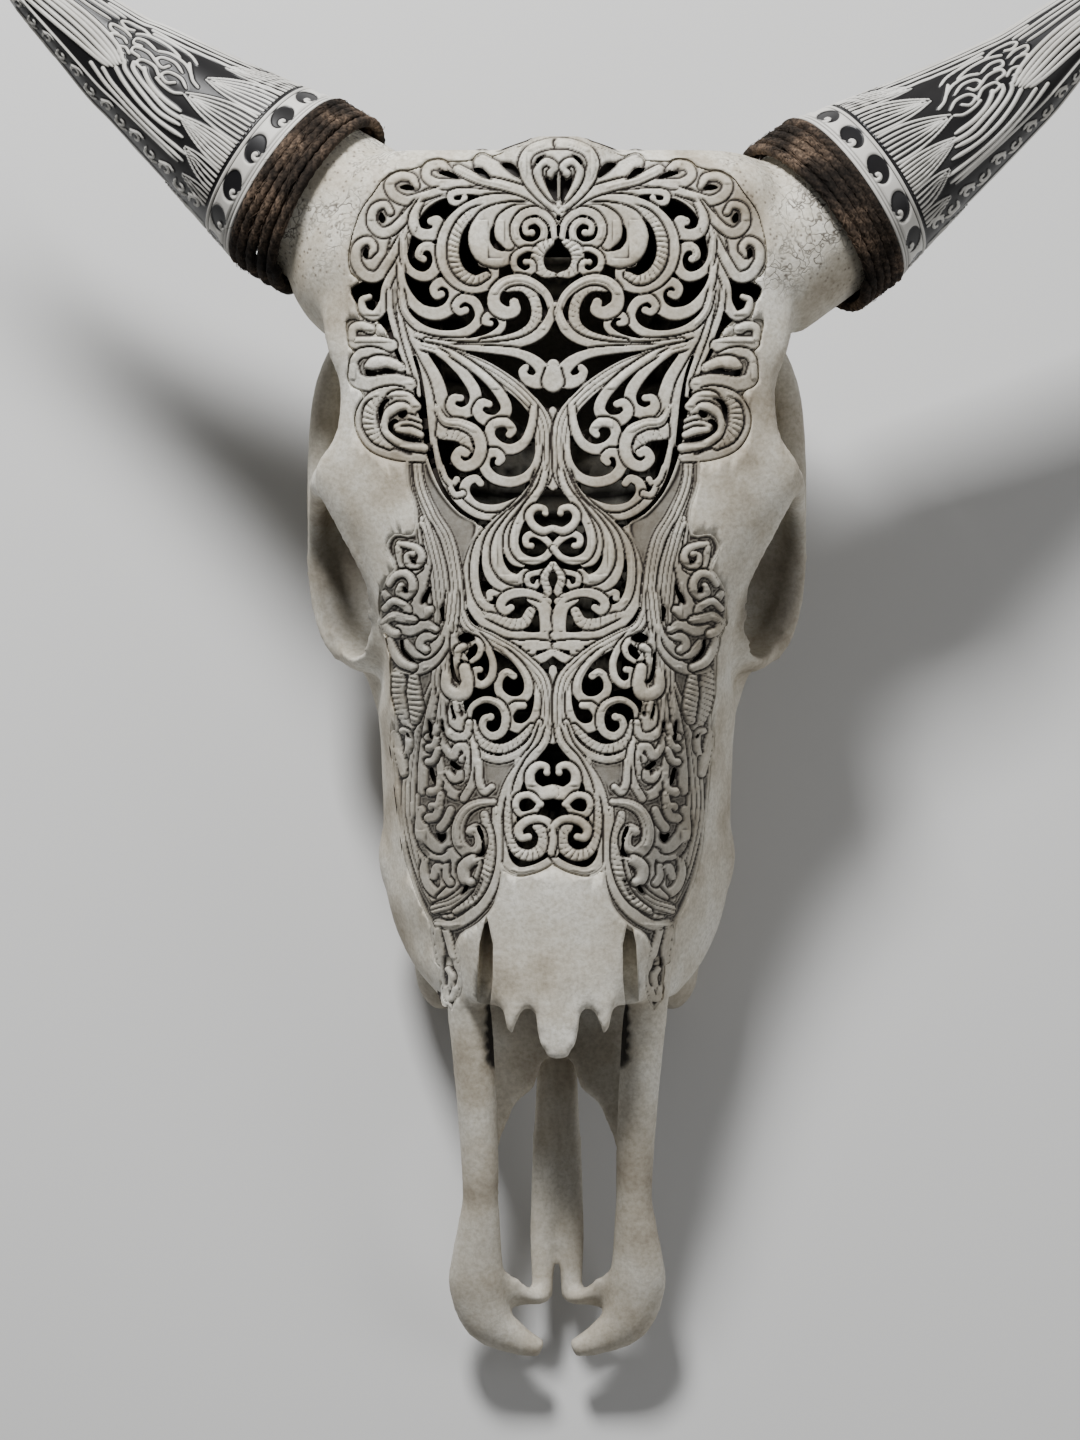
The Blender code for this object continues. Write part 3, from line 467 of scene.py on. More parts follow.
# Carving
# Each band: how it is finished, its widths from root to tip, the bulb that ends it, and its middle
# line as it appears from the eye on the left half.
foreheadBands = [
    ("strands", "3 4 5 6 7 8 8 7 5", 0, "-2,470 -12,477.5 -25,481 -40,481 -51,478.5 -59,472 -64,462 -66.5,450 -67,437 -64.5,425 -60,415"),
    ("plain", "2.5 3.5 4 3.5 3.5 3", 1.3, "-15,481 -28,484.5 -40,483.5 -49,483 -54,486 -53,490 -48,491 -45,488.6"),
    ("plain", "3 3.5 4 4 3.5 3", 1.3, "-46,481 -55,478 -62,476 -67.5,478.5 -69,483 -65,486 -60,485.4 -58.5,482"),
    ("plain", "2 3.5 4 4 3.5 3 2.5", 1.2, "-56,478 -62,470 -68,464 -73,463 -76.5,467 -75.5,472.5 -71,474.3 -68.8,471.2"),
    ("plain", "2.5 4 4.5 4 3.5 3 2.5", 1.4, "-63,463 -69,452 -74,445 -79.5,445.5 -83,451 -82.3,457 -78,459.5 -75.6,456.5 -77.5,454"),
    ("plain", "2.5 3.5 4.5 4 3 2.5", 1.2, "-66,450 -70.5,441 -71.5,434 -75,429 -79.5,430.5 -80.5,435 -77.5,436.5"),
    ("plain", "1.5 2.5 2.5 2", 0, "-69,442 -69,431 -65.5,418 -61.5,407 -60,400"),
    ("plain", "1.5 2.5 2 1.5", 0, "-66,436 -64,424 -61,413 -58,403 -57,396"),
    ("lined", "2 3 3.5 3.5 3", 0, "-63,431 -60,421 -55.5,409 -53,397 -51.8,386 -51,376"),
    ("lined", "3 4 5 5.5 5 4", 0, "-61,422 -55,412 -50,403 -47.7,395 -46.8,388 -48,380"),
    ("plain", "2 4.5 5 5 3.5", 1.5, "-55,478 -59,470 -58.3,464 -54,461.8 -49.7,463.3 -49.5,467.5 -52,467.5"),
    ("plain", "2 2.5 3 2.5 2.5", 1.3, "-20,478.5 -30,479.3 -38,479.8 -43.5,478.8 -43.5,475.5 -39.5,475.2 -38.3,477.2"),
    ("lined", "2.5 3.5 4.5 4 3.5 3", 1.5, "-63.5,463 -63,452 -60,446.7 -55,444.8 -51,447 -49.5,452 -51.5,456.5 -55.5,456.8 -57.2,453.6 -55.3,452"),
    ("plain", "2.5 4 5.5 5.5 4.5 3.5 3", 1.5, "-64.5,452 -64,443 -61,436 -56,431 -49.5,429.6 -44.5,432 -42.3,436.5 -43.7,441 -48,442.5 -51,440 -50,437 -47.8,437.6"),
    ("lined", "2.5 3.5 4 4 4 3 3", 1.6, "-65,442 -63,431 -57.5,424.5 -50,421.3 -42,421 -35.5,423.5 -32.2,428.5 -34,434 -38.5,436 -42,433 -40.5,430.3 -38,431"),
    ("plain", "2 3 3 3 2.5", 1.3, "-60,421.5 -50,418.7 -38,418 -28.5,420 -23,424.3 -24.3,428.8 -28.5,429 -30,426.3 -27.8,425.6"),
    ("lined", "2.5 4 4.5 5 4.5 4 4", 1.9, "-1,467 -9,473 -18,476.2 -28,476.3 -37,473 -44,466.8 -47.3,458.5 -46.7,449.8 -42.5,443.3 -36,440.2 -29.8,441 -26.4,445 -27,449.6 -31,451"),
    ("ribbed", "2.5 4 4.8 4.8 4.5 3", 0, "-29,473.6 -36,470.3 -40.6,464.8 -42.8,458 -42.4,451 -39.3,445.8 -34.3,443.4 -29.5,445.4"),
    ("plain", "2 4 7.5 9 9 7.5 5 3.5", 0, "-10,474.3 -20,473.3 -27.8,470 -31.8,464.5 -32.2,458.3 -29.2,453.6 -24,452 -19,453.8 -16.8,457.5"),
    ("plain", "2 4.5 6.5 6.5 4.5", 0, "-10,473 -17,471.8 -22,467.5 -22.8,462 -20.3,458"),
    ("lined", "2.5 3.4 3.6 3.4 3 2.6 2.4", 1.5, "-1.5,461 -2.7,467 -8,471.5 -14.3,470.3 -17.6,465 -16.2,459.4 -11,457.4 -6.6,459.8 -5.8,464.5 -9,467.7 -13,466.3 -13.2,463 -10.8,462.8"),
    ("ribbed", "3 5.5 5.5 4 2", 0, "-3,459 -7.5,455.5 -8.5,450.5 -6,446.5 -1.5,445.5"),
    ("plain", "2 2.5 3 2.6 2.2", 1.3, "-8,455.5 -13,456 -17.5,453.2 -17.8,448.7 -14,446 -10.5,447.7 -11,450.6 -13.3,450.8"),
    ("ribbed", "2 3.5 4.4 4.6 4.4 3.6 2.5", 0, "-21,439.6 -14.5,440 -10.3,436.5 -8.7,430.5 -10.3,424.8 -15,421 -22,419 -31,417.8"),
    ("lined", "3 3.6 4 4.5 5 6 5 4", 1.6, "-2,429 -4.3,436.5 -9,441.3 -15,443.7 -21.5,442.6 -25.8,438.3 -26,433 -22,430 -17.8,431 -18,434.2"),
    ("lined", "3 4.5 3.5 2.5 2", 0, "-1.5,433 -4,426.3 -8,421.2 -15,417.8 -26,416.3 -40,416.6 -54,418.5"),
    ("lined", "3 4 5 6 7", 0, "-2,474.5 -8,481 -15,484.6 -23,488 -31,491.5"),
    ("lined", "3 4 4 4 4", 0, "-3,472.5 -12,478.8 -22,482.3 -32,484.8 -41,489"),
    ("lined", "2 4 5 4.5 4 4", 0, "0.3,471 -6.5,477.5 -12,484.5 -14,491 -11.5,496.5 -5,499.3 0.3,499.8"),
    ("plain", "2 3 3.5 3.2 2.8", 1.8, "0.4,474 -4.6,479.5 -8,485.3 -8,490 -4.8,492 -1.6,490 -2.7,487"),
    # forehead, lower half
    ("lined", "3 6 7.4 6.6 4", 0, "-2.1,390 -2.1,383 -2.1,375 -2.1,367 -2.1,359"),
    ("plain", "2 3 4 5.5 7 5 3.4 3", 1.4, "-46,416 -30,415 -17,413.4 -9.6,410 -5.8,405 -8.4,401.8 -12.6,402.6 -14.6,405.6 -13.4,407.4"),
    ("plain", "5 7 9", 0, "-2,408.5 -2,405 -2,401.8"),
    ("strands", "3 4.5 5.5 6 6 6.8 7.8 7.6 6.8 4", 0, "-58,417 -44,413 -31,408 -20,401 -12.8,394.5 -8,388.5 -5.8,382 -5.6,373 -6,364 -8,357"),
    ("plain", "2.5 4 5 5 5 3.5 3", 1.5, "-52,415.5 -44,410 -37.8,403.6 -34,397 -35,391.2 -39.8,388.8 -43.8,391.2 -43,394.8 -40,395"),
    ("plain", "2.5 3.5 4.5 5 5 4 3", 1.5, "-46,414.7 -37,409 -29,402.5 -23,395.5 -21.3,390 -24.7,386 -30,386.2 -33,389.5 -31.2,393 -28.3,392.5"),
    ("plain", "2.5 4 4.5 4.6 4.2 4 3", 1.5, "-9.5,394 -11,383.5 -13.8,377 -19,374 -24.7,375.4 -28,379.6 -26.5,384 -21.7,385 -18.8,382 -20,380"),
    ("plain", "2 3.6 4.4 4.6 4.2 3.6 3", 1.5, "-7.5,378 -9,368.5 -12.7,363 -19,360.6 -26,362 -30,366.4 -29.2,371.4 -25.7,372.6 -23.2,370.3 -24.5,368.6"),
    ("lined", "2.5 3.5 4.6 5 5 4.4 3.4 3", 1.5, "-7,368 -11,357.5 -17,352 -26,349 -34,350.3 -38.2,355.2 -37.6,360 -34,362 -31.8,360"),
    ("ribbed", "3.5 5 5 4", 0, "-46.5,379.5 -42.5,379.8 -38.8,378.2 -36.8,374.2"),
    ("lined", "2 4 5 5 4.6 4 3.4", 1.8, "-50,391.5 -46.5,385.5 -40,384.4 -34,381.2 -31.7,375 -33.7,369 -38.5,367 -42,370 -40.3,373.3 -38,372.4"),
    ("lined", "2 3 3 3 2", 0, "-51,378 -48.6,367 -45,358.5 -38.5,350.5 -30,346.3 -20,347.6"),
    ("plain", "2 2.6 2.4", 1.4, "-47.8,367 -46,362 -43.3,359.8 -41.6,361.6"),
    ("plain", "2 2.6 2.4", 1.3, "-45,360 -42.5,355.5 -39.3,355.8"),
]
noseBands = [
    ("lined", "3 5 6.6 6 4", 0, "-2.1,284 -2.1,278 -2.1,270 -2.1,262 -2.1,255"),
    ("lined", "2 3 3.5 4 4 4 4.5 5 5 4", 0, "-5,370 -9.5,357.5 -19,348.5 -28,341.3 -34.7,332 -37.2,321 -35.8,311 -30.7,303.6 -22,298.7 -12,296.6 -3,297.6"),
    ("strands", "3 4.5 6 7 8 8.5 8 6", 0, "-58,374 -57,360 -52,347 -46.5,337 -43.8,325 -42.6,313 -42,302 -40,292"),
    ("lined", "2 3 3.5 3.6 3.5 3 2.8", 1.4, "-6,366 -16,352.5 -25,344.6 -32,336 -34.3,326 -33.4,316 -30,310 -25,308.6 -23,311.8 -25,315 -28,315 -28,313"),
    ("plain", "2 3 4 4.2 4 3", 0, "-6,367 -13,353.6 -21.5,345.6 -27.6,337.4 -29.3,328 -27,320.6 -21.8,317.4 -16,317.6"),
    ("plain", "2 3.5 5 5.2 4.8 4", 0, "-6,366 -11,354.8 -18.5,346 -24,337 -25,328.6 -21.8,322.6 -16.8,320.6 -13.4,323"),
    ("plain", "2 3 3.6 3.6 3", 0, "-9,357 -15,347.6 -19.8,340.4 -20.4,333 -18.4,328.4 -15,327"),
    ("plain", "2 3 3.6 3.8 3.6 3 3", 0, "-4.5,368 -7,358.5 -12.5,350.3 -16.6,342.7 -18,335.7 -15.8,330.4 -10.5,328.2 -5.4,329.8 -2.4,333.4"),
    ("plain", "3 3 3 2.5", 1.4, "-2.3,333.5 -5,336.8 -9.5,339.3 -13,338 -13,335 -11,334.4"),
    ("plain", "3 3.6 3.5 3 2.5", 1.4, "-2.5,341.5 -6.5,340.6 -10.5,343.2 -11.7,347 -9.2,350 -5.8,349.6 -5.2,347.8"),
    ("plain", "2.2 2.4 2.2", 1.2, "-3,324.6 -7,323.7 -12,322.2 -12.3,318.8 -9.6,317.5 -8,319.6"),
    ("ribbed", "2 3.4 3.4 2", 0, "-2.6,327 -5.6,321 -4.2,315.5 -7.5,313.4"),
    ("ribbed", "2 3.5 4.6 4.8 4", 0, "-31,306.6 -25,304.4 -19,302.4 -14,303 -11.3,307.4"),
    ("plain", "5 6 5.5 3.5", 0, "-5,298.6 -4.8,305 -6.4,310 -11,312.5"),
    ("plain", "3 3.2 4 4 3.6 3", 1.5, "-4,311.5 -9,314 -15,315.2 -20.8,313.8 -23.6,310.4 -21.8,307.7 -19.3,309"),
    ("plain", "2 2 2.5 2.2", 1.1, "-37,302.6 -29,297 -18,294.6 -9,294.6 -3,293.6 -8,292.6 -13,292.8 -14.6,290.8 -12,289.6 -10,291"),
    ("plain", "3 4 3.4 2", 0, "-2.6,290.6 -6.5,288.4 -10.8,287.2 -15,289.4"),
    ("strands", "4 5 5.5 6 6.4 7.6 7.8 7.2 5", 0, "-41,310 -37,301 -28,296 -19.4,291 -12.6,285.4 -7.6,279.6 -5.8,272 -5.8,263 -7,256"),
    ("lined", "2 3 4 4 3.6 3.2 3", 1.5, "-24,293 -17,286.6 -12.8,280 -12.4,274.2 -15.6,271 -20.5,271.2 -24.2,274.6 -24.2,279.4 -21.2,282.6 -18.2,281"),
    ("plain", "2 3 4 4.2 4 3.6 3", 1.5, "-8.6,277 -8.8,268.4 -10.6,262.4 -14.5,259.6 -19,260.6 -20.4,264.6 -17.8,268.4 -14.2,268.8"),
    ("plain", "2 3 3.5 3.5 3 2.6", 1.4, "-35,300 -29.4,293 -26.8,286.6 -27.5,280.6 -31,277.4 -34.5,279 -34.4,283 -32.2,283.6"),
    ("plain", "2 2.6 2.5 2.4", 1.3, "-35.5,287 -32.6,289.4 -31.8,293 -34,295.8 -36,294.3"),
    ("plain", "2 2.4 2.4 2.2", 1.2, "-38,287.6 -40.2,290.4 -40.4,293.4 -38.6,295 -37.6,293.2"),
    ("lined", "2.5 3 3 2", 0, "-41.6,301 -43.4,292 -42.6,284 -40,277"),
    ("lined", "2 2.6 3.2 3.5 3.5 3.2 3", 1.6, "-37,261 -35.6,268 -30,271.3 -24,269.3 -21.6,264 -23,258.2 -27.5,256.3 -31,259.2 -30.4,263.2 -27.8,264.2"),
    ("ribbed", "2.5 3.6 4 4 3.6 2.4", 0, "-35,262 -33.5,256 -29.4,252.4 -23,251.2 -16.6,254.2 -10.8,260"),
    ("lined", "2 2.5 3 3 2.6 2", 0, "-37,262 -35.4,253.2 -30.6,248.3 -24,246.8 -17,249 -11,254.2 -7.6,262"),
    ("lined", "3.5 4 4 4.2 4.2 4 3.6 3 3 2.4", 0, "-5,263 -8.6,252.5 -15,244.5 -20.3,236 -23,226 -23.3,215 -21.6,205.8 -17,201.3 -11,201.8 -5,204.4 -1.6,207.6"),
    ("lined", "2 3 3.4 3.2 2.6 2", 0, "-3.4,262 -5.6,253.5 -11.6,246 -16.2,237 -18,227 -18.2,219"),
    ("ribbed", "2 2.8 3.2 4.8 5 4.6 4", 0, "-19.8,233 -20.8,225 -20.3,216.4 -17.3,209.4 -11.8,207.4 -7,210.2 -6,215.6 -8.5,219.2"),
    ("plain", "6 5.4 4.4 3.6 3 2.6", 1.5, "-2.4,233.6 -7,233 -11,236.3 -11.3,241 -8.3,244.3 -4.9,243.8 -4.6,241.4"),
    ("plain", "2.6 3 3 2.6 2.4 2.4", 0, "-7,228.4 -11.5,232 -16,231.3 -17.4,227.5 -15,224.2 -10,225.4 -7.5,228.6"),
    ("plain", "3 3.2 3.2 3.8 4 3.6 3", 1.6, "-1.6,217.6 -4,221 -8,222.5 -13,221.4 -16.2,218.2 -15.2,214.8 -12.2,215"),
    ("plain", "3 3 3", 0, "-1.2,219 -2.2,213.6 -1.3,208.5"),
]
cheekBands = [
    ("lined", "3 4 4 4 3", 0, "-56,343 -54.4,334 -52.2,324 -51.4,314 -54.4,306.4 -60,303.6"),
    ("strands", "3 5 6 6 5.4 5 4 3", 0, "-55,345 -52,335 -49.6,325 -48.4,315 -47.6,306 -48.4,297 -52.6,289.4 -60,285"),
    ("strands", "4 5.4 6 6 5.6 5 4", 0, "-43,318 -44.4,305 -47,293 -48.6,281 -48.4,269 -47.4,259 -45,250"),
    ("lined", "3 4 4.2 3.6 2.4", 0, "-44.6,304 -46.8,295 -51,288 -57,283.8 -66,283.6"),
    ("lined", "2.4 3 3.2 3 2.4", 0, "-47.6,300 -50,294 -54.4,290 -59.6,290.6 -63,294.6"),
    ("plain", "2 2.6 2.8 2.6", 1.3, "-50,301 -51.6,297.6 -55.6,296.6 -57,293.6 -54.6,291.6"),
    ("lined", "2.4 3.2 3.4 3 2.4", 0, "-66,300.5 -61,299.4 -57.6,300.8 -54.4,302 -50.6,300"),
    ("plain", "2 4 5.4 5.4 4.4 3", 0, "-52.8,329 -55.6,322 -57.6,315.4 -57.6,309.6 -55.6,306.8 -53,308"),
    ("plain", "2 2.4 2", 1.1, "-65.8,333.6 -65,329 -63.4,325.2 -60.4,323.6 -57,325.4"),
    ("plain", "1.8 2.4 2.6 2.4 2", 1.3, "-65.4,335.2 -61.6,334.6 -57.6,333 -56,329.6 -58,326.6 -61.4,326.8 -62,330 -59.6,331.2"),
    ("lined", "2 3 3 2.6", 0, "-71.6,315 -68.6,311 -65,311.6 -62,312.6"),
    ("plain", "2 2.6 2.8 2.6 2.2", 1.2, "-69.4,318.6 -67,322 -63,323 -60.2,320.2 -60,316.4 -62.6,313.6 -65.4,315 -64.6,317.8"),
    ("plain", "2 2.4 2.4 2.2", 1.1, "-71.4,308.6 -68,311.6 -64.6,310.6 -62,308.4 -62.4,305.8 -64.2,306.4"),
    ("lined", "2 3 3 2.4", 0, "-72,303 -68,305.4 -63.6,304.6 -59.4,304"),
    ("plain", "2.4 3 3", 1.5, "-71,302 -69.4,299.4 -66.8,298.3"),
    ("plain", "2 3 3.4 3", 0, "-69,296 -67.4,290.6 -64.4,286.6 -60,284.6"),
    ("strands", "2 4 5 5.6 5.6 5.4 5 4 3", 0, "-51,279 -54.6,268 -57.6,257 -59.6,246 -60.8,234 -60.4,222 -57.6,208 -53.8,196 -48.4,185.6 -43,180"),
    ("lined", "2 3 3.4 3.4 3", 0, "-50.4,276 -52.6,266 -54.4,255 -55.6,244 -56,234"),
    ("ribbed", "4 6 6 4", 0, "-66,281.6 -65,274 -63.4,267 -61.4,261"),
    ("ribbed", "3 5 5 3", 0, "-59.6,281 -59.4,274 -58.6,268 -59,263"),
    ("plain", "2 3 3.4 2.4", 1.3, "-66.6,257 -65.6,251 -64.4,246 -63.6,241"),
    ("plain", "2 2.4 2.2", 1.3, "-62.4,248 -61.4,253 -62,257.4 -64,258.6"),
    ("plain", "2 2.6 3 2.8", 1.5, "-42.4,301 -42.8,293 -42,286 -40.4,280.6"),
    ("plain", "2 2.4 2.6", 1.5, "-41.4,288 -41.2,291.4 -39.2,293"),
    ("plain", "3 4.4 5 4", 0, "-45.6,285 -46,277 -43,273.8 -39,273.8 -37.6,278 -38.4,284"),
    ("lined", "4 6 6.4 5", 0, "-42.4,272 -41.8,266 -41,260.4 -39.6,258.6"),
    ("plain", "2 3 3 2.6 2", 0, "-47.4,262 -45,257.6 -41.2,255.8 -37.8,257 -36.8,262"),
    ("plain", "1.8 2.6 2.8 2.6 2.2", 1.3, "-47.6,257 -46.6,251.6 -43.4,248 -41.6,251.4 -38.6,251.8 -37.4,248.8 -39.6,246.8"),
    ("ribbed", "2 3 3 2.4", 0, "-36.4,250 -36.6,245 -38,240.6 -40.6,237.6"),
    ("plain", "2 3 3.2 3 2.4", 1.5, "-49,247 -47.6,239 -44.4,233.4 -40,232 -37.4,235.4"),
    ("plain", "2 2.6 2.6 2.2", 1.3, "-45.8,242.6 -43.6,239 -41,239 -40.6,241.4"),
    ("plain", "2 2.6 2.6", 0, "-35.2,256 -34,247 -35,238 -39,230.8"),
    ("plain", "2 2.6 2.6 2", 1.3, "-32.6,246 -32.4,238 -30.4,233.6 -27.4,235.4"),
    ("plain", "2 2.4 2.6", 1.5, "-49.6,262 -51,257.4 -53.6,255.8"),
    ("plain", "2 2.4 2.6", 1.4, "-49.6,257 -51.2,252.6 -53.4,251.4"),
    ("plain", "2 2.4 2.6", 1.4, "-49.4,251 -51.2,246.6 -53.4,245.8"),
    ("plain", "2.4 2.8 3", 1.8, "-48.8,239 -50,234.6 -52.6,233.4"),
    ("plain", "2.2 2.6 2.8", 1.6, "-48.4,232.4 -49.4,228.2 -52,227.4"),
    ("plain", "3 5 6.4 6.4 5 3.4", 0, "-56.6,226 -56,217 -53,211.4 -48.4,209.6 -44.6,213.6 -43.8,221"),
    ("plain", "2.4 2.8 3", 1.7, "-49,227 -50.6,223.4 -53.4,222.7"),
    ("plain", "2.4 2.8 3", 1.6, "-44.4,226 -46.2,221.6 -48.4,218.8"),
    ("plain", "1.6 1.8 1.8 1.6", 0, "-57.6,214 -55,209.4 -51.4,206.8 -47.4,206.6 -44,208.8"),
    ("plain", "2 3 3.2 3 2.4", 1.5, "-54.4,207 -55.4,201 -53.4,194.8 -49.6,191.8 -46.8,194.6 -47.2,200 -50,202.4 -51.4,198.8"),
    ("plain", "3 3.8 4 3.4 2.6", 0, "-47,206.4 -43.6,208.4 -41.6,204.6 -42,199 -44.4,193.6 -48.4,189.8"),
    ("plain", "2 2.4 2.6", 1.4, "-46.2,203 -46.2,198.8 -44.6,196.2"),
    ("lined", "3 3.8 4 3.8 3.4 3", 0, "-25.2,226 -25.4,210 -26.4,199 -30,189.6 -36,182.8 -43.4,178.8 -49.4,179.4"),
    ("strands", "3 4.6 5.4 5 4", 0, "-31.4,204 -33.4,197.6 -38,191.6 -43.6,187.6 -50,185.6"),
    ("ribbed", "2.6 3.4 3.6 3.4 3 2", 0, "-30.4,224 -28.4,214 -28.6,204.6 -31.2,195.6 -35.6,189 -42,184.6"),
    ("lined", "2 3.4 4 4.2 4 4 3.6", 1.7, "-26.6,229.4 -33,228.6 -38.3,225.4 -41.3,219 -40.6,212.2 -36.4,208.3 -32.6,210.3 -32,214.6 -33.6,218 -36,217.4"),
    ("plain", "2.6 4 4.6 4 3", 1.7, "-31.4,205.2 -35.4,205.4 -38.8,202.4 -38.6,198 -36.4,196.4"),
    ("plain", "2.6 3 3 2.4", 0, "-50,179.6 -49,171.6 -48.2,164.6"),
    ("plain", "2.4 2.6 2.6 2.6 2.2", 0, "-46.4,177.6 -44.2,169.6 -42.4,162 -41.9,154.6 -43.2,149.6 -45.2,149 -46,153"),
    ("plain", "2 2.4 2.2", 1.1, "-44.4,153 -43.8,158 -45.4,161"),
]
templeBands = [
    ("plain", "2.4 3 3 3.4", 1.8, "-84.6,419.5 -84,423.5 -80.5,424.6 -77,423.2"),
    ("plain", "4 4.6 4.6 4", 0, "-83.5,417.6 -78,417.6 -73,417.5 -68.5,416.6"),
    ("plain", "3 4.6 5 5.4 5", 0, "-84,408 -83,402.4 -77,400.9 -69,401.8 -61.5,400.6"),
    ("plain", "2 2.6 3 3 3 2.6", 0, "-84,407 -83.6,410.6 -80.5,413.4 -75,413.6 -70.5,411.5 -65,408"),
    ("plain", "3 4.6 4.6 3.6", 1.7, "-64,407.5 -70,409.2 -75,409.4 -77.4,407.8"),
    ("lined", "2.4 3 3.2 3.4 3.4 3.2 3", 0, "-60.4,396.8 -68,398 -76,395.6 -80.8,389 -80.4,381.5 -75.4,374.8 -66,371.4 -55.5,370.6"),
    ("ribbed", "2.4 4.6 5 4.6 3", 0, "-73,394.8 -76.8,390.5 -77.4,384.5 -74.6,379.2 -69.5,375.8"),
    ("plain", "3 3.4 3.2 3 2.6", 1.6, "-58,391.5 -61.8,395.2 -66,396 -68.6,394.8 -67.6,392.6"),
    ("plain", "3 3.4 3 2.6", 0, "-60,389.8 -64.5,391.4 -68.5,389.8 -71.2,386.8 -70.6,382.5"),
    ("plain", "2.6 3.4 3.4 3", 0, "-71.6,384 -69.4,380 -63.5,376.2 -55,374.4"),
    ("plain", "1.6 2.4 2", 0, "-62.5,387.6 -59.6,386.2 -57,385.4"),
    ("plain", "2 2.8 2.4", 0, "-66.4,383.6 -61.6,384 -57,382.8"),
    ("plain", "2 2.8 2.4", 0, "-66,381.6 -61,381.6 -56.4,379.8"),
]

zones = {
    "open": "0,470 -12,476.5 -25,480 -40,480 -51,477.5 -59,471.5 -64,463 -66,453 -72,447 -79,443.5 -85,440 -83,434 "
            "-77,429 -71,423 -68,416 -64,406 -60,397 -57,387 -55,376 -52,366 -48,357 -43,350 -37,344.5 -30,341 -34.7,333 "
            "-37.3,321 -38,310 -40,301 -41.5,290 -40.5,278 -38.5,268 -37,257 -33,250 -24,246.8 -18,248 -15,244.5 "
            "-20.3,236 -23,226 -23.3,215 -21.6,205.8 -17,201.3 -11,201.8 -5,204.4 0,207",
    "top": "0,470 -12,476.5 -25,480 -40,480 -51,477.5 -59,471.5 -64,463 -66,453 -72,447 -79,443.5 -85,446 -86,455 "
           "-82,470 -76,479 -70,486.5 -60,489 -50,492 -38,492.5 -28,494 -17,498 -8,500.5 0,500.5",
    "temple": "-87,426.5 -82,427.5 -77,426 -75,423.5 -76.5,420.8 -71,420.2 -68,415.5 -64.5,408 -61,399 -58.4,390 -56.6,380 "
              "-54,371 -56,369.3 -64,369.3 -72,371.8 -78.6,376.4 -82.4,382.4 -82.6,390.4 -80,396.4 -84.6,400.5 "
              "-85.6,407 -84,413.5 -86,418",
    "cheek": "-61,376 -55,372 -51,362 -46,354 -40,347.5 -33,343 -35.5,333 -38,321 -38.5,310 -40.5,301 -42,290 -41,278 "
             "-39,268 -37.5,257 -33,250 -24,247 -18,248 -17.5,243 -22.5,234 -24.5,225 -24.6,212 -23,200 -26,187 -33,179 "
             "-40,174.5 -42.5,166 -41,156 -43.5,144 -47.5,156 -48.5,166 -51.5,178 -57,189 -62,205 -64.5,222 -66.5,240 "
             "-66.5,256 -67.5,270 -69,282 -69.5,294 -73,304 -73,316 -67,325 -70.5,333 -67,339 -59.5,339 -58.5,349 -62,361",
}
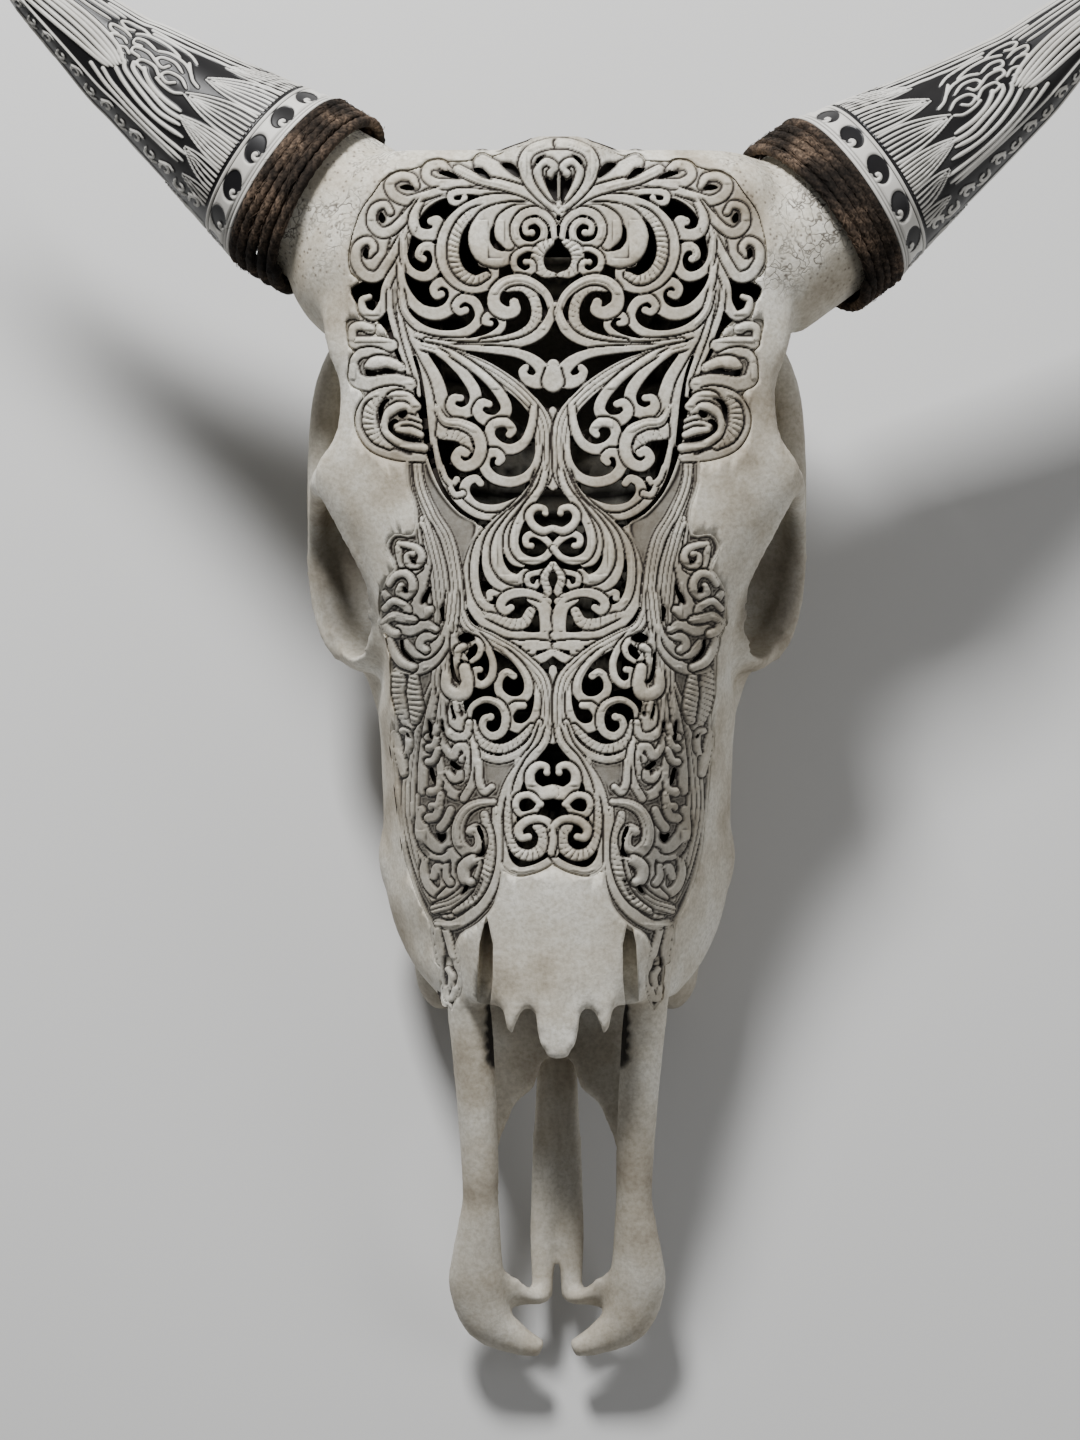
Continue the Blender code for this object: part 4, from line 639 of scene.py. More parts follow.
holes = [
    "-16,485.3 -19.5,487.3 -23.6,491.4 -19.6,491.8 -16.6,489", "-27.4,485 -31,486 -35.2,489.4 -31,489.6",
    "-40,485.4 -44,485.6 -49.4,487.8 -44.6,488.4", "-58.6,481 -62,480.3 -65.4,481.6 -61.8,483",
    "-72,466.6 -73.8,468.6 -72.8,471.6 -70.8,469", "-9.8,489.6 -8.6,493.6 -5.4,495 -8,491.4",
    "-78.6,452 -80.4,454 -79,457 -77.6,454.6",
    "-0.6,475.4 -4,480.4 -5.4,485.6 -2.6,484.4 -0.6,487",
    "-53,319.6 -52.6,315.6 -54.6,311.4 -56.4,310.8 -55.8,313.6 -54,316.4", "-65.4,295.4 -63.9,295.6 -63.4,291.8 -59,287 -58.6,286.2 -61.6,287.4 -64.6,290.6",
    "-48.7,308.6 -47.1,309.6 -46.9,303.4 -47.9,303.6 -48.5,306", "-61,330.4 -60.6,327.9 -58.8,327 -58.4,328 -60,328.8",
    "-63.8,317.6 -63.6,315.4 -62,315.4 -62.4,317", "-62.8,258 -61.4,257.4 -60.6,255.6 -61.8,255.8",
    "-44.6,285.6 -43.8,280.8 -41.8,278 -40,278.8 -41.6,279.8 -42.6,283 -43.4,290 -44.6,290.6",
    "-44.4,270.8 -43.9,266 -42.8,263.2 -42.1,264.6 -43.2,268.4", "-40.3,268.8 -39.9,264.8 -39.2,266",
    "-48.4,262 -47.8,258 -46.2,253.4 -46.9,256.8 -47.4,262", "-45,245.2 -42,242.4 -39.9,243.2 -41.4,244.8 -43.4,246",
    "-41.4,297 -37.6,299 -34,296.6 -36.6,294.8 -40,295", "-53.5,262 -52.4,262 -52,255.4 -53,254.6",
    "-53.3,242.8 -51.6,243.2 -50.2,237 -50.9,236 -52.5,238.6", "-47.3,234 -46.1,233.2 -46.7,232.6",
    "-50.6,217 -49.8,214 -48,212.6 -46.2,214.4 -46.4,216.6 -48.4,216", "-57.4,213 -55,208.9 -53.4,207.6 -54.6,209.6 -56.6,213",
    "-32.6,220 -31,217 -30.2,211 -30.2,207.6 -33.8,206.7 -31.6,209.6 -31.6,214 -33.4,218.4",
    "-32.2,197.4 -31.4,197 -33.8,191.4 -36,189 -35.4,190.6 -33.6,193.6", "-47,165.6 -44.4,165 -43.4,160 -45,162.4 -47,162",
    "-38.6,195.2 -37,194.6 -37.8,192.6 -40,191.6", "-45.4,243 -43,241.4 -42.6,242.4",
    "-78.8,407 -78.6,403.9 -73,404.7 -66.4,405.5 -68,406.6 -71,407.4 -74,405.9",
    "-68.2,394.6 -71.6,394.4 -74,390.6 -73.4,385.6 -72.2,387 -71.6,390.6 -70.4,393",
    "-69.8,384.4 -67.6,386.6 -65.4,385.6 -67.6,384 -67.6,381.8 -64,380 -59,378.7 -55.4,377.2 -61,377 -66,378.8 -69.4,381.6",
    "-66,388.4 -62.2,390.4 -62.4,387.6 -64.6,386.8", "-65.6,374.3 -63,373.6 -60.4,372 -63,372.6",
]
carving = {
    "step": 0.48, "underStep": 1.4, "groundDepth": 0.75, "wall": 5.6, "cutStep": 1.0, "cutDepth": 33.0, "trayDepth": 4.0,
    "left": -91.0, "right": 88.5, "low": 139.0, "high": 503.0, "groove": 0.8,
}


def pointsOf(text):
    return np.array([[float(v) for v in pair.split(",")] for pair in text.split()])


def midline(y):
    """The middle of the drawing, which drifts a little up the face."""
    return -2.1 + 2.4 * ease(395, 475, np.asarray(y, float))


def bothHalves(line):
    other = line.copy()
    other[:, 0] = 2 * midline(line[:, 1]) - line[:, 0]
    return (-1, line), (1, other)


def areaDistance(X, Y, outline):
    """Distance to a closed outline, negative inside: nearest of its sides, signed by how many lie to the left."""
    best = np.full(X.shape, 1e9)
    inside = np.zeros(X.shape, bool)
    ends = np.roll(outline, -1, 0)
    for (ax, ay), (bx, by) in zip(outline, ends):
        dx, dy = bx - ax, by - ay
        t = np.clip(((X - ax) * dx + (Y - ay) * dy) / (dx * dx + dy * dy + 1e-12), 0, 1)
        best = np.minimum(best, (X - ax - t * dx) ** 2 + (Y - ay - t * dy) ** 2)
        if ay != by:
            inside ^= ((Y < ay) != (Y < by)) & (X < ax + (Y - ay) * dx / (by - ay))
    return np.where(inside, -1, 1) * np.sqrt(best)


class Drawing:
    """Height and distance of the carving on a grid of what the eye sees, X by Y."""

    def __init__(self, step):
        self.step = step
        across = np.arange(carving["left"], carving["right"], step)
        up = np.arange(carving["low"], carving["high"], step)
        self.X, self.Y = np.meshgrid(across, up)
        self.height = np.full(self.X.shape, -9.0)
        self.clear = np.full(self.X.shape, 40.0)
        self.reach = np.full(self.X.shape, 40.0)

    def near(self, line, reach):
        """The part of the grid round a line."""
        low = (line.min(0) - reach - (carving["left"], carving["low"])) / self.step
        high = (line.max(0) + reach - (carving["left"], carving["low"])) / self.step + 2
        low, high = np.maximum(low.astype(int), 0), np.maximum(high.astype(int), 0)
        return np.s_[low[1]:high[1], low[0]:high[0]]

    def zone(self, outline):
        return areaDistance(self.X, self.Y, spline(outline, 3, endless=True))

    def band(self, finish, widths, line, wider):
        """Height from the nearest place on the line: a crown of sqrt(1 - t^2), t the share of the half width."""
        fine = spline(line, 14)
        along = np.concatenate([[0], np.cumsum(np.hypot(*np.diff(fine, axis=0).T))])
        half = shared([float(w) for w in widths.split()], len(fine)) * wider / 2
        part = self.near(fine, half.max() + 2.2)
        X, Y = self.X[part], self.Y[part]
        if not X.size:
            return
        best = np.full(X.shape, 1e9)
        which = np.zeros(X.shape, int)
        for k, ((x, y), h) in enumerate(zip(fine, half)):
            far = ((X - x) ** 2 + (Y - y) ** 2) / (h * h)
            closer = far < best
            best[closer] = far[closer]
            which[closer] = k
        hw, t = half[which], np.sqrt(best)
        tangent = unit(np.gradient(fine, axis=0))
        dx, dy = X - fine[which, 0], Y - fine[which, 1]
        u = (dx * tangent[which, 1] - dy * tangent[which, 0]) / hw
        s = along[which] + dx * tangent[which, 0] + dy * tangent[which, 1]
        height = np.minimum(0.62 * hw, 1.3) * (np.clip(1 - t**2.5, 0, 1) ** 0.6 - 0.5)
        if finish == "lined":
            height -= 0.55 * np.exp(-((np.abs(u) - 0.48) * hw / 0.32) ** 2) * ease(0.9, 1.5, hw)
        elif finish == "strands":
            lines = 0.5 - 0.5 * np.cos(2 * np.pi * (u * np.maximum(hw / 1.9, 1.0) + 0.5))
            height = 0.35 - 0.5 * u * u - 0.85 * lines**4
        elif finish == "ribbed":
            height = -0.55 + 1.05 * np.abs(np.cos(np.pi * (s / 2.2 + 0.3 * u))) ** 0.6 * np.clip(1 - u**4, 0, 1)
        self.reach[part] = np.minimum(self.reach[part], (t - 1 / wider) * hw)
        self.lay(part, height, (t - 1) * hw, ease(0, min(0.3, 5 / along[-1]), s / along[-1]))

    def knob(self, centre, radius):
        """A small dome at the end of a curl."""
        part = self.near(np.array([centre]), radius + 2.2)
        r = np.hypot(self.X[part] - centre[0], self.Y[part] - centre[1])
        dome = 0.7 * radius * (np.sqrt(np.clip(1 - (r / radius) ** 2, 0, 1)) - 0.35)
        old = self.height[part]
        self.height[part] = np.where(r < radius, np.maximum(old, dome), old)
        self.clear[part] = np.minimum(self.clear[part], r - radius)
        self.reach[part] = np.minimum(self.reach[part], r - radius)

    def lay(self, part, height, edge, joint):
        """Over what was there, with a cut round it; joint fades both in, so that a band grows out of another."""
        old = self.height[part]
        cut = np.minimum(old, -1.25 + 1.25 * ease(0.35, 1.15, edge))
        beside = old + (cut - old) * joint
        grown = np.where(old > -5, old + (height - old) * joint, height)
        self.height[part] = np.where(edge <= 0, grown, beside)
        self.clear[part] = np.minimum(self.clear[part], edge)

    def draw(self, bands, wider=1.0):
        for finish, widths, bulb, text in bands:
            for _, line in bothHalves(pointsOf(text)):
                self.band(finish, widths, line, wider)
                if bulb:
                    self.knob(line[-1], bulb)


def soften(values, times):
    """Each value with its four neighbours, several times over."""
    for _ in range(times):
        padded = np.pad(values, 1, mode="edge")
        values = (2 * values + padded[2:, 1:-1] + padded[:-2, 1:-1] + padded[1:-1, 2:] + padded[1:-1, :-2]) / 6
    return values


def drawn(step):
    """The whole drawing: bands, zones, holes; solid is negative where there is bone."""
    d = Drawing(step)
    d.draw(foreheadBands + noseBands)
    d.draw(cheekBands + templeBands, 1.22)
    zone = {}
    for name, text in zones.items():
        line = pointsOf(text)
        if name in ("open", "top"):
            mirror = bothHalves(line)[1][1][::-1]
            zone[name] = d.zone(np.vstack([line, mirror[1:-1]]) if name == "top" else np.vstack([line, mirror]))
        else:
            zone[name] = np.minimum(*[d.zone(half) for _, half in bothHalves(line)])
    hole = np.full(d.X.shape, 40.0)
    for text in holes:
        for _, line in bothHalves(pointsOf(text)):
            part = d.near(line, 3)
            hole[part] = np.minimum(hole[part], areaDistance(d.X[part], d.Y[part], spline(line, 3, endless=True)))
    relief = np.minimum(zone["temple"], zone["cheek"])
    d.domain = np.minimum(np.minimum(relief, zone["open"]), np.minimum(zone["top"], d.reach - carving["groove"]))
    d.open, d.top, d.hole, d.cheek = zone["open"], zone["top"], hole, zone["cheek"]
    faded = (d.cheek < np.minimum(zone["temple"], zone["top"])) & (d.cheek < 6) & (d.clear > 0)
    flange = np.maximum(d.domain - 1.3, -zone["open"])
    solid = np.minimum(np.minimum(d.clear, relief), np.minimum(zone["top"], flange))
    d.solid = np.maximum(solid, -hole)
    incised = -0.95 * np.exp(-((d.clear - 0.45) / 0.45) ** 2)
    ground = -carving["groundDepth"] * ease(0.2, 1.6, d.clear)
    bare = np.where(d.top < 0, incised, np.minimum(ground, incised))
    height = np.where(d.clear <= 0, d.height, np.maximum(bare, -carving["groundDepth"]))
    sunk = np.where(d.domain > 0.2, -1.5, np.where(d.domain > -0.3, np.minimum(height, -0.9), height))
    level = height + (0.1 - height) * ease(-1.2, -0.1, d.domain) - 1.3 * ease(0.1, 1.3, d.domain)
    d.relieved = np.where(faded, level, sunk)
    d.relieved += np.where((d.hole < 1.2) & (d.relieved > -0.5), -0.6 * (1 - ease(0, 1.2, d.hole)), 0)
    return d


def measuredFace(obj):
    """z of the bone on a coarse grid, by a ray from the eye through each place, smoothed."""
    step = 2.5
    across = np.arange(carving["left"] - 6, carving["right"] + 6, step)
    up = np.arange(carving["low"] - 6, carving["high"] + 6, step)
    start = Vector(toWorld((eye["x"], eye["y"], eye["away"])))
    graph = bpy.context.evaluated_depsgraph_get()
    tree = BVHTree.FromObject(obj, graph)
    X, Y = np.meshgrid(across, up)
    aims = unit(toWorld(np.stack([X, Y, 0 * X], -1)) - np.array(start))
    z = np.full(X.shape, np.nan)
    for place in np.ndindex(X.shape):
        hit = tree.ray_cast(start, Vector(aims[place]))[0]
        if hit:
            z[place] = toFace(np.array(hit))[2]
    missing = np.isnan(z) | (z < -62)
    z = np.where(missing, np.nan, z)
    for _ in range(24):
        padded = np.pad(z, 1, constant_values=np.nan)
        around = np.stack([padded[2:, 1:-1], padded[:-2, 1:-1], padded[1:-1, 2:], padded[1:-1, :-2]])
        count = (~np.isnan(around)).sum(0)
        filled = np.nansum(around, 0) / np.maximum(count, 1)
        z = np.where(np.isnan(z) & (count > 0), filled, z)
    return across, up, soften(np.nan_to_num(z, nan=-60.0), 2)


def readAt(grid, X, Y):
    """A smooth value of the coarse grid at X, Y: cubic between the nearest sixteen places."""
    across, up, values = grid
    step = across[1] - across[0]
    fx = np.clip((X - across[0]) / step, 1, len(across) - 2.001)
    fy = np.clip((Y - up[0]) / step, 1, len(up) - 2.001)
    ix, iy = fx.astype(int), fy.astype(int)
    tx, ty = fx - ix, fy - iy

    def weights(t):
        return [(-t + 2 * t**2 - t**3) / 2, (2 - 5 * t**2 + 3 * t**3) / 2, (t + 4 * t**2 - 3 * t**3) / 2,
                (t**3 - t**2) / 2]

    wx, wy = weights(tx), weights(ty)
    total = 0
    for j in range(4):
        row = np.clip(iy + j - 1, 0, len(up) - 1)
        total = total + wy[j] * sum(wx[i] * values[row, np.clip(ix + i - 1, 0, len(across) - 1)] for i in range(4))
    return total


def trimmed(X, Y, solid, step):
    """Grid places moved onto the outline where solid is 0, and the cells to keep: (X, Y, used, quads and triangles)."""
    gy, gx = np.gradient(solid, step)
    size = np.maximum(np.hypot(gx, gy), 0.35)
    inside = solid <= 0
    padded = np.pad(inside, 1)
    touching = np.zeros(inside.shape, bool)
    for dy in (0, 1, 2):
        for dx in (0, 1, 2):
            touching |= padded[dy:dy + inside.shape[0], dx:dx + inside.shape[1]]
    snap = ~inside & touching & (solid < 1.5 * step)
    shift = np.where(snap, np.clip(solid / size, 0, 1.2 * step), 0)
    X, Y = X - shift * gx / size, Y - shift * gy / size
    valid = inside | snap
    index = np.arange(X.size).reshape(X.shape)
    corners = np.stack([index[:-1, :-1], index[:-1, 1:], index[1:, 1:], index[1:, :-1]], -1).reshape(-1, 4)
    good, core = valid.ravel()[corners], inside.ravel()[corners]
    count = good.sum(1)
    keep = core.any(1)
    quads = corners[(count == 4) & keep]
    tris = corners[(count == 3) & keep]
    skip = np.argmin(good[(count == 3) & keep], axis=1)
    order = (skip[:, None] + [1, 2, 3]) % 4
    tris = np.take_along_axis(tris, order, 1)
    return X, Y, np.vstack([quads, np.column_stack([tris, np.full(len(tris), -1)])])


def rimOf(faces):
    """Edges that only one face has, in that face's direction."""
    starts, ends = [], []
    for k in range(4):
        a = faces[:, k]
        b = np.where(faces[:, (k + 1) % 4] >= 0, faces[:, (k + 1) % 4], faces[:, 0])
        real = a >= 0
        starts.append(a[real])
        ends.append(b[real])
    a, b = np.concatenate(starts), np.concatenate(ends)
    big = a.max() + b.max() + 1
    code, reverse = a.astype(np.int64) * big + b, b.astype(np.int64) * big + a
    lone = ~np.isin(code, reverse)
    return a[lone], b[lone]


def compact(points, faces):
    """Only the points that the faces use."""
    used = np.unique(faces[faces >= 0])
    place = np.full(len(points), -1)
    place[used] = np.arange(len(used))
    return used, np.where(faces >= 0, place[faces], -1)


def openingCutter(face):
    """All that the carving takes out of the bone: a deep pit under the open zones, a tray under the others."""
    d = drawn(carving["cutStep"])
    X, Y, faces = trimmed(d.X, d.Y, d.domain, d.step)
    z = readAt(face, X, Y)
    deep = (d.open < 0) | ((d.hole < 0.8) & (d.cheek < 2))
    floor = np.where(deep, -carving["cutDepth"] + 18 * ease(428, 462, Y), z - carving["trayDepth"])
    floor = np.minimum(floor, z - carving["trayDepth"])
    top, low = alongSight(X, Y, 14 + 0 * z).reshape(-1, 3), alongSight(X, Y, floor).reshape(-1, 3)
    n = len(top)
    a, b = rimOf(faces)
    walls = np.column_stack([b, a, a + n, b + n])
    under = np.where(faces >= 0, faces + n, -1)
    width = (under >= 0).sum(1)
    turned = under[:, ::-1].copy()
    turned[width == 3] = under[width == 3][:, [2, 1, 0, 3]]
    every = np.vstack([faces, turned, walls])
    used, every = compact(np.vstack([top, low]), every)
    return newObject("carved_out", np.vstack([top, low])[used], every), (d.X[0], d.Y[:, 0], d.domain)


def carvedPieces(face):
    """The carved skin, following the bone, with walls at every hole; one piece for each part of the face."""
    d = drawn(carving["step"])
    report("carving drawn")
    X, Y, faces = trimmed(d.X, d.Y, d.solid, d.step)
    z = readAt(face, X, Y)
    P = alongSight(X, Y, z)
    normal = unit(np.cross(np.gradient(P, axis=1), np.gradient(P, axis=0)))
    wide = soften(d.relieved, 14)
    lift = d.relieved[..., None] * normal
    top = P + lift
    low = P - np.array((0, 0, carving["wall"]))
    # Patina and painted shade: darker where the carving sinks below its neighbours, partly patina in the grooves,
    # partly painted shade in the deep hollows.
    patina_and_painted_shade = 0.62 * ease(-0.2, 0.5, -d.relieved) + 1.3 * ease(0.03, 0.4, wide - d.relieved)
    patina_and_painted_shade = np.where(d.domain > 0, 0.2, np.clip(patina_and_painted_shade + 0.5 * ease(0.8, 1.3, -d.relieved), 0, 1))
    flat = X.size
    top, low, patina_and_painted_shade = top.reshape(-1, 3), low.reshape(-1, 3), patina_and_painted_shade.ravel()
    hidden = (d.domain > 0.4).ravel()
    middle = midline(Y).ravel()
    x, y = X.ravel(), Y.ravel()
    first = faces[:, 0]
    right = x[first] > middle[first]
    under = drawn(carving["underStep"])
    uX, uY, underFaces = trimmed(under.X, under.Y, under.solid, under.step)
    beneath = alongSight(uX, uY, readAt(face, uX, uY) - carving["wall"] + 0.2).reshape(-1, 3)
    ux, uy, turned = uX.ravel(), uY.ravel(), underFaces[:, ::-1].copy()
    three = underFaces[:, 3] < 0
    turned[three] = underFaces[three][:, [2, 1, 0, 3]]
    underFirst = underFaces[:, 0]
    underRight = ux[underFirst] > midline(uy[underFirst])
    stain = (0.5 * ease(3, -14, d.cheek)).ravel()
    made = []
    cuts = [(carving["high"], 432), (432, 343), (343, 255), (255, carving["low"] - 1)]
    names = ["crown", "forehead", "nose", "muzzle"]
    a, b = rimOf(faces)
    for (high, low_), word in zip(cuts, names):
        for side, sideName in ((False, "left"), (True, "right")):
            mine = (y[first] <= high) & (y[first] > low_) & (right == side)
            edge = (y[a] <= high) & (y[a] > low_) & ((x[a] > middle[a]) == side) & ~(hidden[a] & hidden[b])
            ea, eb = a[edge], b[edge]
            own = faces[mine]
            points = np.vstack([top, top, low, beneath])
            mineUnder = (uy[underFirst] <= high) & (uy[underFirst] > low_) & (underRight == side)
            lid = np.where(turned[mineUnder] >= 0, turned[mineUnder] + 3 * flat, -1)
            walls = np.column_stack([eb + flat, ea + flat, ea + 2 * flat, eb + 2 * flat])
            every = np.vstack([own, walls, lid])
            used, every = compact(points, every)
            obj = newObject(f"carved_{word}_{sideName}", points[used], every)
            # Painted shade on the holes: the walls darken from their top edge down to black, and the underside is
            # black.
            rim = np.concatenate([patina_and_painted_shade, np.clip(patina_and_painted_shade * 0.6 + 0.3, 0, 1), np.ones(flat), np.ones(len(beneath))])
            store(obj, "patina_and_painted_shade", rim[used])
            store(obj, "stain", np.concatenate([stain, stain, stain, np.zeros(len(beneath))])[used])
            store(obj, "pits", np.full(len(used), 0.15))
            obj.data.shade_smooth()
            made.append(obj)
    return made


report("forms set up")
bone = roughSkull()
report(f"rough skull, {len(bone.data.polygons)} faces")
face = measuredFace(bone)
report("face measured")
slits = gathered("slits", pairOf(plate(skull["nasalSlit"], lambda x, y: 6 + 0 * x, 34)))
settled(bone, slit=("BOOLEAN", {"operation": "DIFFERENCE", "solver": "EXACT", "object": slits}))
removed(slits)
cutter, drawnDomain = openingCutter(face)
report(f"cutter, {len(cutter.data.polygons)} faces")
settled(bone, carve=("BOOLEAN", {"operation": "DIFFERENCE", "solver": "EXACT", "object": cutter}),
        thin=("DECIMATE", {"ratio": 0.58}))
easeSockets(bone)
removed(cutter)
report(f"skull cut, {len(bone.data.polygons)} faces")
carvedSkin = carvedPieces(face)
for piece in carvedSkin:
    print(piece.name, len(piece.data.vertices), sum(len(p.vertices) - 2 for p in piece.data.polygons))
report("carved skin")


# Horn carving: strokes of white on black, each a width and its line (length s, degrees round from the front)
hornDrawing = {
    "ring": (24.3, 38.6), "around": 13, "rows": 290, "columns": 240, "rise": 0.4, "sink": 0.5,
    "fans": [  # foot, from and to degrees, where it points, how many lines
        (39.4, -18, 4, 73, -4, 7), (39.4, -44, -21, 70, -25, 7), (39.4, -72, -47, 68, -46, 7), (39.4, 7, 24, 69, 13, 7),
        (39.4, 27, 42, 60, 30, 5), (39.4, 45, 56, 56, 50, 4), (39.4, 80, 102, 66, 91, 7), (39.4, 105, 127, 68, 116, 7),
        (39.4, 130, 152, 68, 141, 7), (39.4, 155, 177, 68, 166, 7), (39.4, -100, -76, 68, -86, 7), (39.4, -126, -104, 68, -115, 7),
        (39.4, -152, -130, 68, -141, 7), (39.4, -178, -156, 68, -167, 7), (74, 100, 150, 130, 122, 9),
        (74, 156, 204, 130, 180, 9), (74, -150, -100, 130, -122, 9), (134, 96, 264, 190, 180, 13),
    ],
    "fingers": [
        "66,14 76,16 86,13 94,9 99,4 100,-1", "67,19 78,22 88,19 97,14 102,9 104,3", "70,10 80,10 88,7 93,2 95,-2",
        "63,25 76,28 88,27 98,22 106,14", "58,34 75,36 90,35 102,31 112,24", "58,40 75,41 92,40 106,36 118,30",
        "104,4 111,-5 122,-11 136,-14 152,-12", "105,7 114,0 126,-5 140,-6 158,-3", "106,10 115,5 127,1 141,0 158,4",
        "107,12 116,10 128,8 142,8 158,12", "108,15 118,16 130,16 143,18 158,22", "110,18 120,21 132,24 145,28 158,33",
    ],
    "scrolls": [
        "74,-8 79,-13 85,-12 87,-6 83,-3 80,-7", "80,-18 86,-23 92,-21 93,-15 89,-12 87,-17", "87,-3 92,-9 98,-8 99,-2 95,0",
        "92,-13 98,-18 104,-16 104,-10 100,-9", "75,-19 82,-27 90,-29 95,-25", "96,-24 102,-28 107,-25 106,-19 102,-20",
        "70,-14 75,-18 81,-30", "104,-6 108,-10 112,-7 110,-2 107,-3", "86,-31 94,-36 103,-36 109,-31",
        "101,-36 108,-42 117,-41 120,-35 116,-31 112,-34", "78,-33 84,-39 94,-42 102,-42", "109,-15 114,-18 119,-14 117,-9",
        "74,-3 78,1 84,1 88,-1", "110,-24 116,-27 122,-24 121,-18 117,-18",
    ],
    "lines": [
        "58,-50 75,-48 90,-46 104,-47", "58,-57 75,-55 92,-54 110,-52 130,-50", "58,-64 75,-63 95,-62 120,-60 158,-56",
        "58,-71 80,-70 105,-70 158,-66", "70,-79 110,-79 158,-77", "124,-28 134,-26 146,-26 158,-25",
        "122,-37 132,-36 145,-35 158,-34", "120,-44 140,-44 158,-43", "60,44 90,45 130,44 160,43", "62,80 90,80 130,80 160,80",
        "162,-40 180,-34 200,-26 222,-16", "162,-22 180,-18 200,-12 222,-6", "162,0 180,0 200,1 222,2",
        "162,22 180,20 200,15 222,9", "162,44 180,38 200,30 222,18", "162,66 180,62 200,56 222,44",
        "162,-64 180,-60 200,-54 222,-44",
    ],
}


class HornDrawing:
    """Signed distance to the white strokes, in the plane of length s by arc: angle times radius."""

    def __init__(self, S, T):
        self.S, self.T = S, T
        self.arc = T * hornRadius(S)
        self.clear = np.full(S.shape, 20.0)

    def place(self, s, degrees):
        return np.stack([s, np.radians(degrees) * hornRadius(np.asarray(s, float))], -1)

    def stroke(self, width, line, taper=0.0):
        """Nearest side of the line, less its half width there; also one lap on and one lap back."""
        fine = spline(line, 6)
        t = np.linspace(0, 1, len(fine))
        half = width / 2 * np.minimum(1, t * 8 + 0.45) * (1 - taper * t)
        for lap in (-1, 0, 1):
            xs, ys = fine[:, 0], fine[:, 1] + lap * 2 * math.pi * hornRadius(fine[:, 0])
            near = (self.S > xs.min() - 3) & (self.S < xs.max() + 3)
            near &= (self.arc > ys.min() - 3) & (self.arc < ys.max() + 3)
            s, arc = self.S[near], self.arc[near]
            if not s.size:
                continue
            best = np.full(s.shape, 20.0)
            for ax, ay, bx, by, ha, hb in zip(xs, ys, xs[1:], ys[1:], half, half[1:]):
                dx, dy = bx - ax, by - ay
                k = np.clip(((s - ax) * dx + (arc - ay) * dy) / (dx * dx + dy * dy + 1e-9), 0, 1)
                best = np.minimum(best, np.hypot(s - ax - k * dx, arc - ay - k * dy) - ha - (hb - ha) * k)
            self.clear[near] = np.minimum(self.clear[near], best)

    def fan(self, foot, low, high, tip, turn, count):
        """A petal: lines that rise side by side from its foot and lean together into its tip."""
        middle, half = (low + high) / 2, (high - low) / 2
        for u in np.linspace(-1, 1, count):
            far = 0.8 + 0.2 * abs(u)
            s = foot + (tip - foot) * np.array([0, 0.25, 0.5, 0.75, 1]) * far
            away = middle + half * u * np.array([1, 1.02, 0.92, 0.62, 0.1])
            lean = (turn - middle) * np.array([0, 0.06, 0.25, 0.6, 1]) * far
            self.stroke(1.15, self.place(s, away + lean), 0.5)

    def ring(self):
        """A white band with a row of comma-shaped hollows, a white curl in each, and thin lines beside it."""
        low, high = hornDrawing["ring"]
        band = np.maximum(low - self.S, self.S - high)
        count = hornDrawing["around"]
        pitch = 2 * math.pi / count
        local = (np.mod(self.T + pitch / 2, pitch) - pitch / 2) * hornRadius(self.S)
        s = self.S - (low + high) / 2 - 0.7
        hollow = np.hypot((s + 0.10 * local) / 4.6, local / 6.9) - 1
        hollow *= 4.4
        curl = 20 + 0 * s
        for k in np.linspace(0, 1, 26):
            turn = 4.6 * k - 0.5
            r = 2.5 * (1 - k) ** 0.8 + 0.3
            cx, cy = -2.1 - r * math.cos(turn), 2.0 + r * math.sin(turn)
            curl = np.minimum(curl, np.hypot(s - cx, local - cy) - (0.85 - 0.1 * k))
        hollow = np.maximum(hollow, -curl)
        for line in (low + 1.9, low + 3.4, high - 1.6):
            hollow = np.minimum(hollow, np.abs(self.S - line) - 0.32)
        self.clear = np.where(band < 1.6, np.maximum(band, -hollow), self.clear)

    def border(self):
        """A row of little scrolls between two lines along the lower edge."""
        for k in range(15):
            s = 46 + 9.5 * k
            turn = 63 - 0.04 * (s - 46)
            size = 1.1 - 0.03 * k
            flip = 1 if k % 2 else -1
            a = np.linspace(-0.6, 4.6, 8)
            r = 3.2 * size * (1 - a / 7.5)
            centre = self.place(np.array(s), turn)
            line = centre + np.stack([np.cos(a) * r, flip * np.sin(a) * r], -1)
            self.stroke(1.3 * size, line)
            self.stroke(1.2 * size, centre + np.array([(-4.4, flip * 2.6), (-1.0, flip * 3.9), (3.6, flip * 2.2)]) * size)


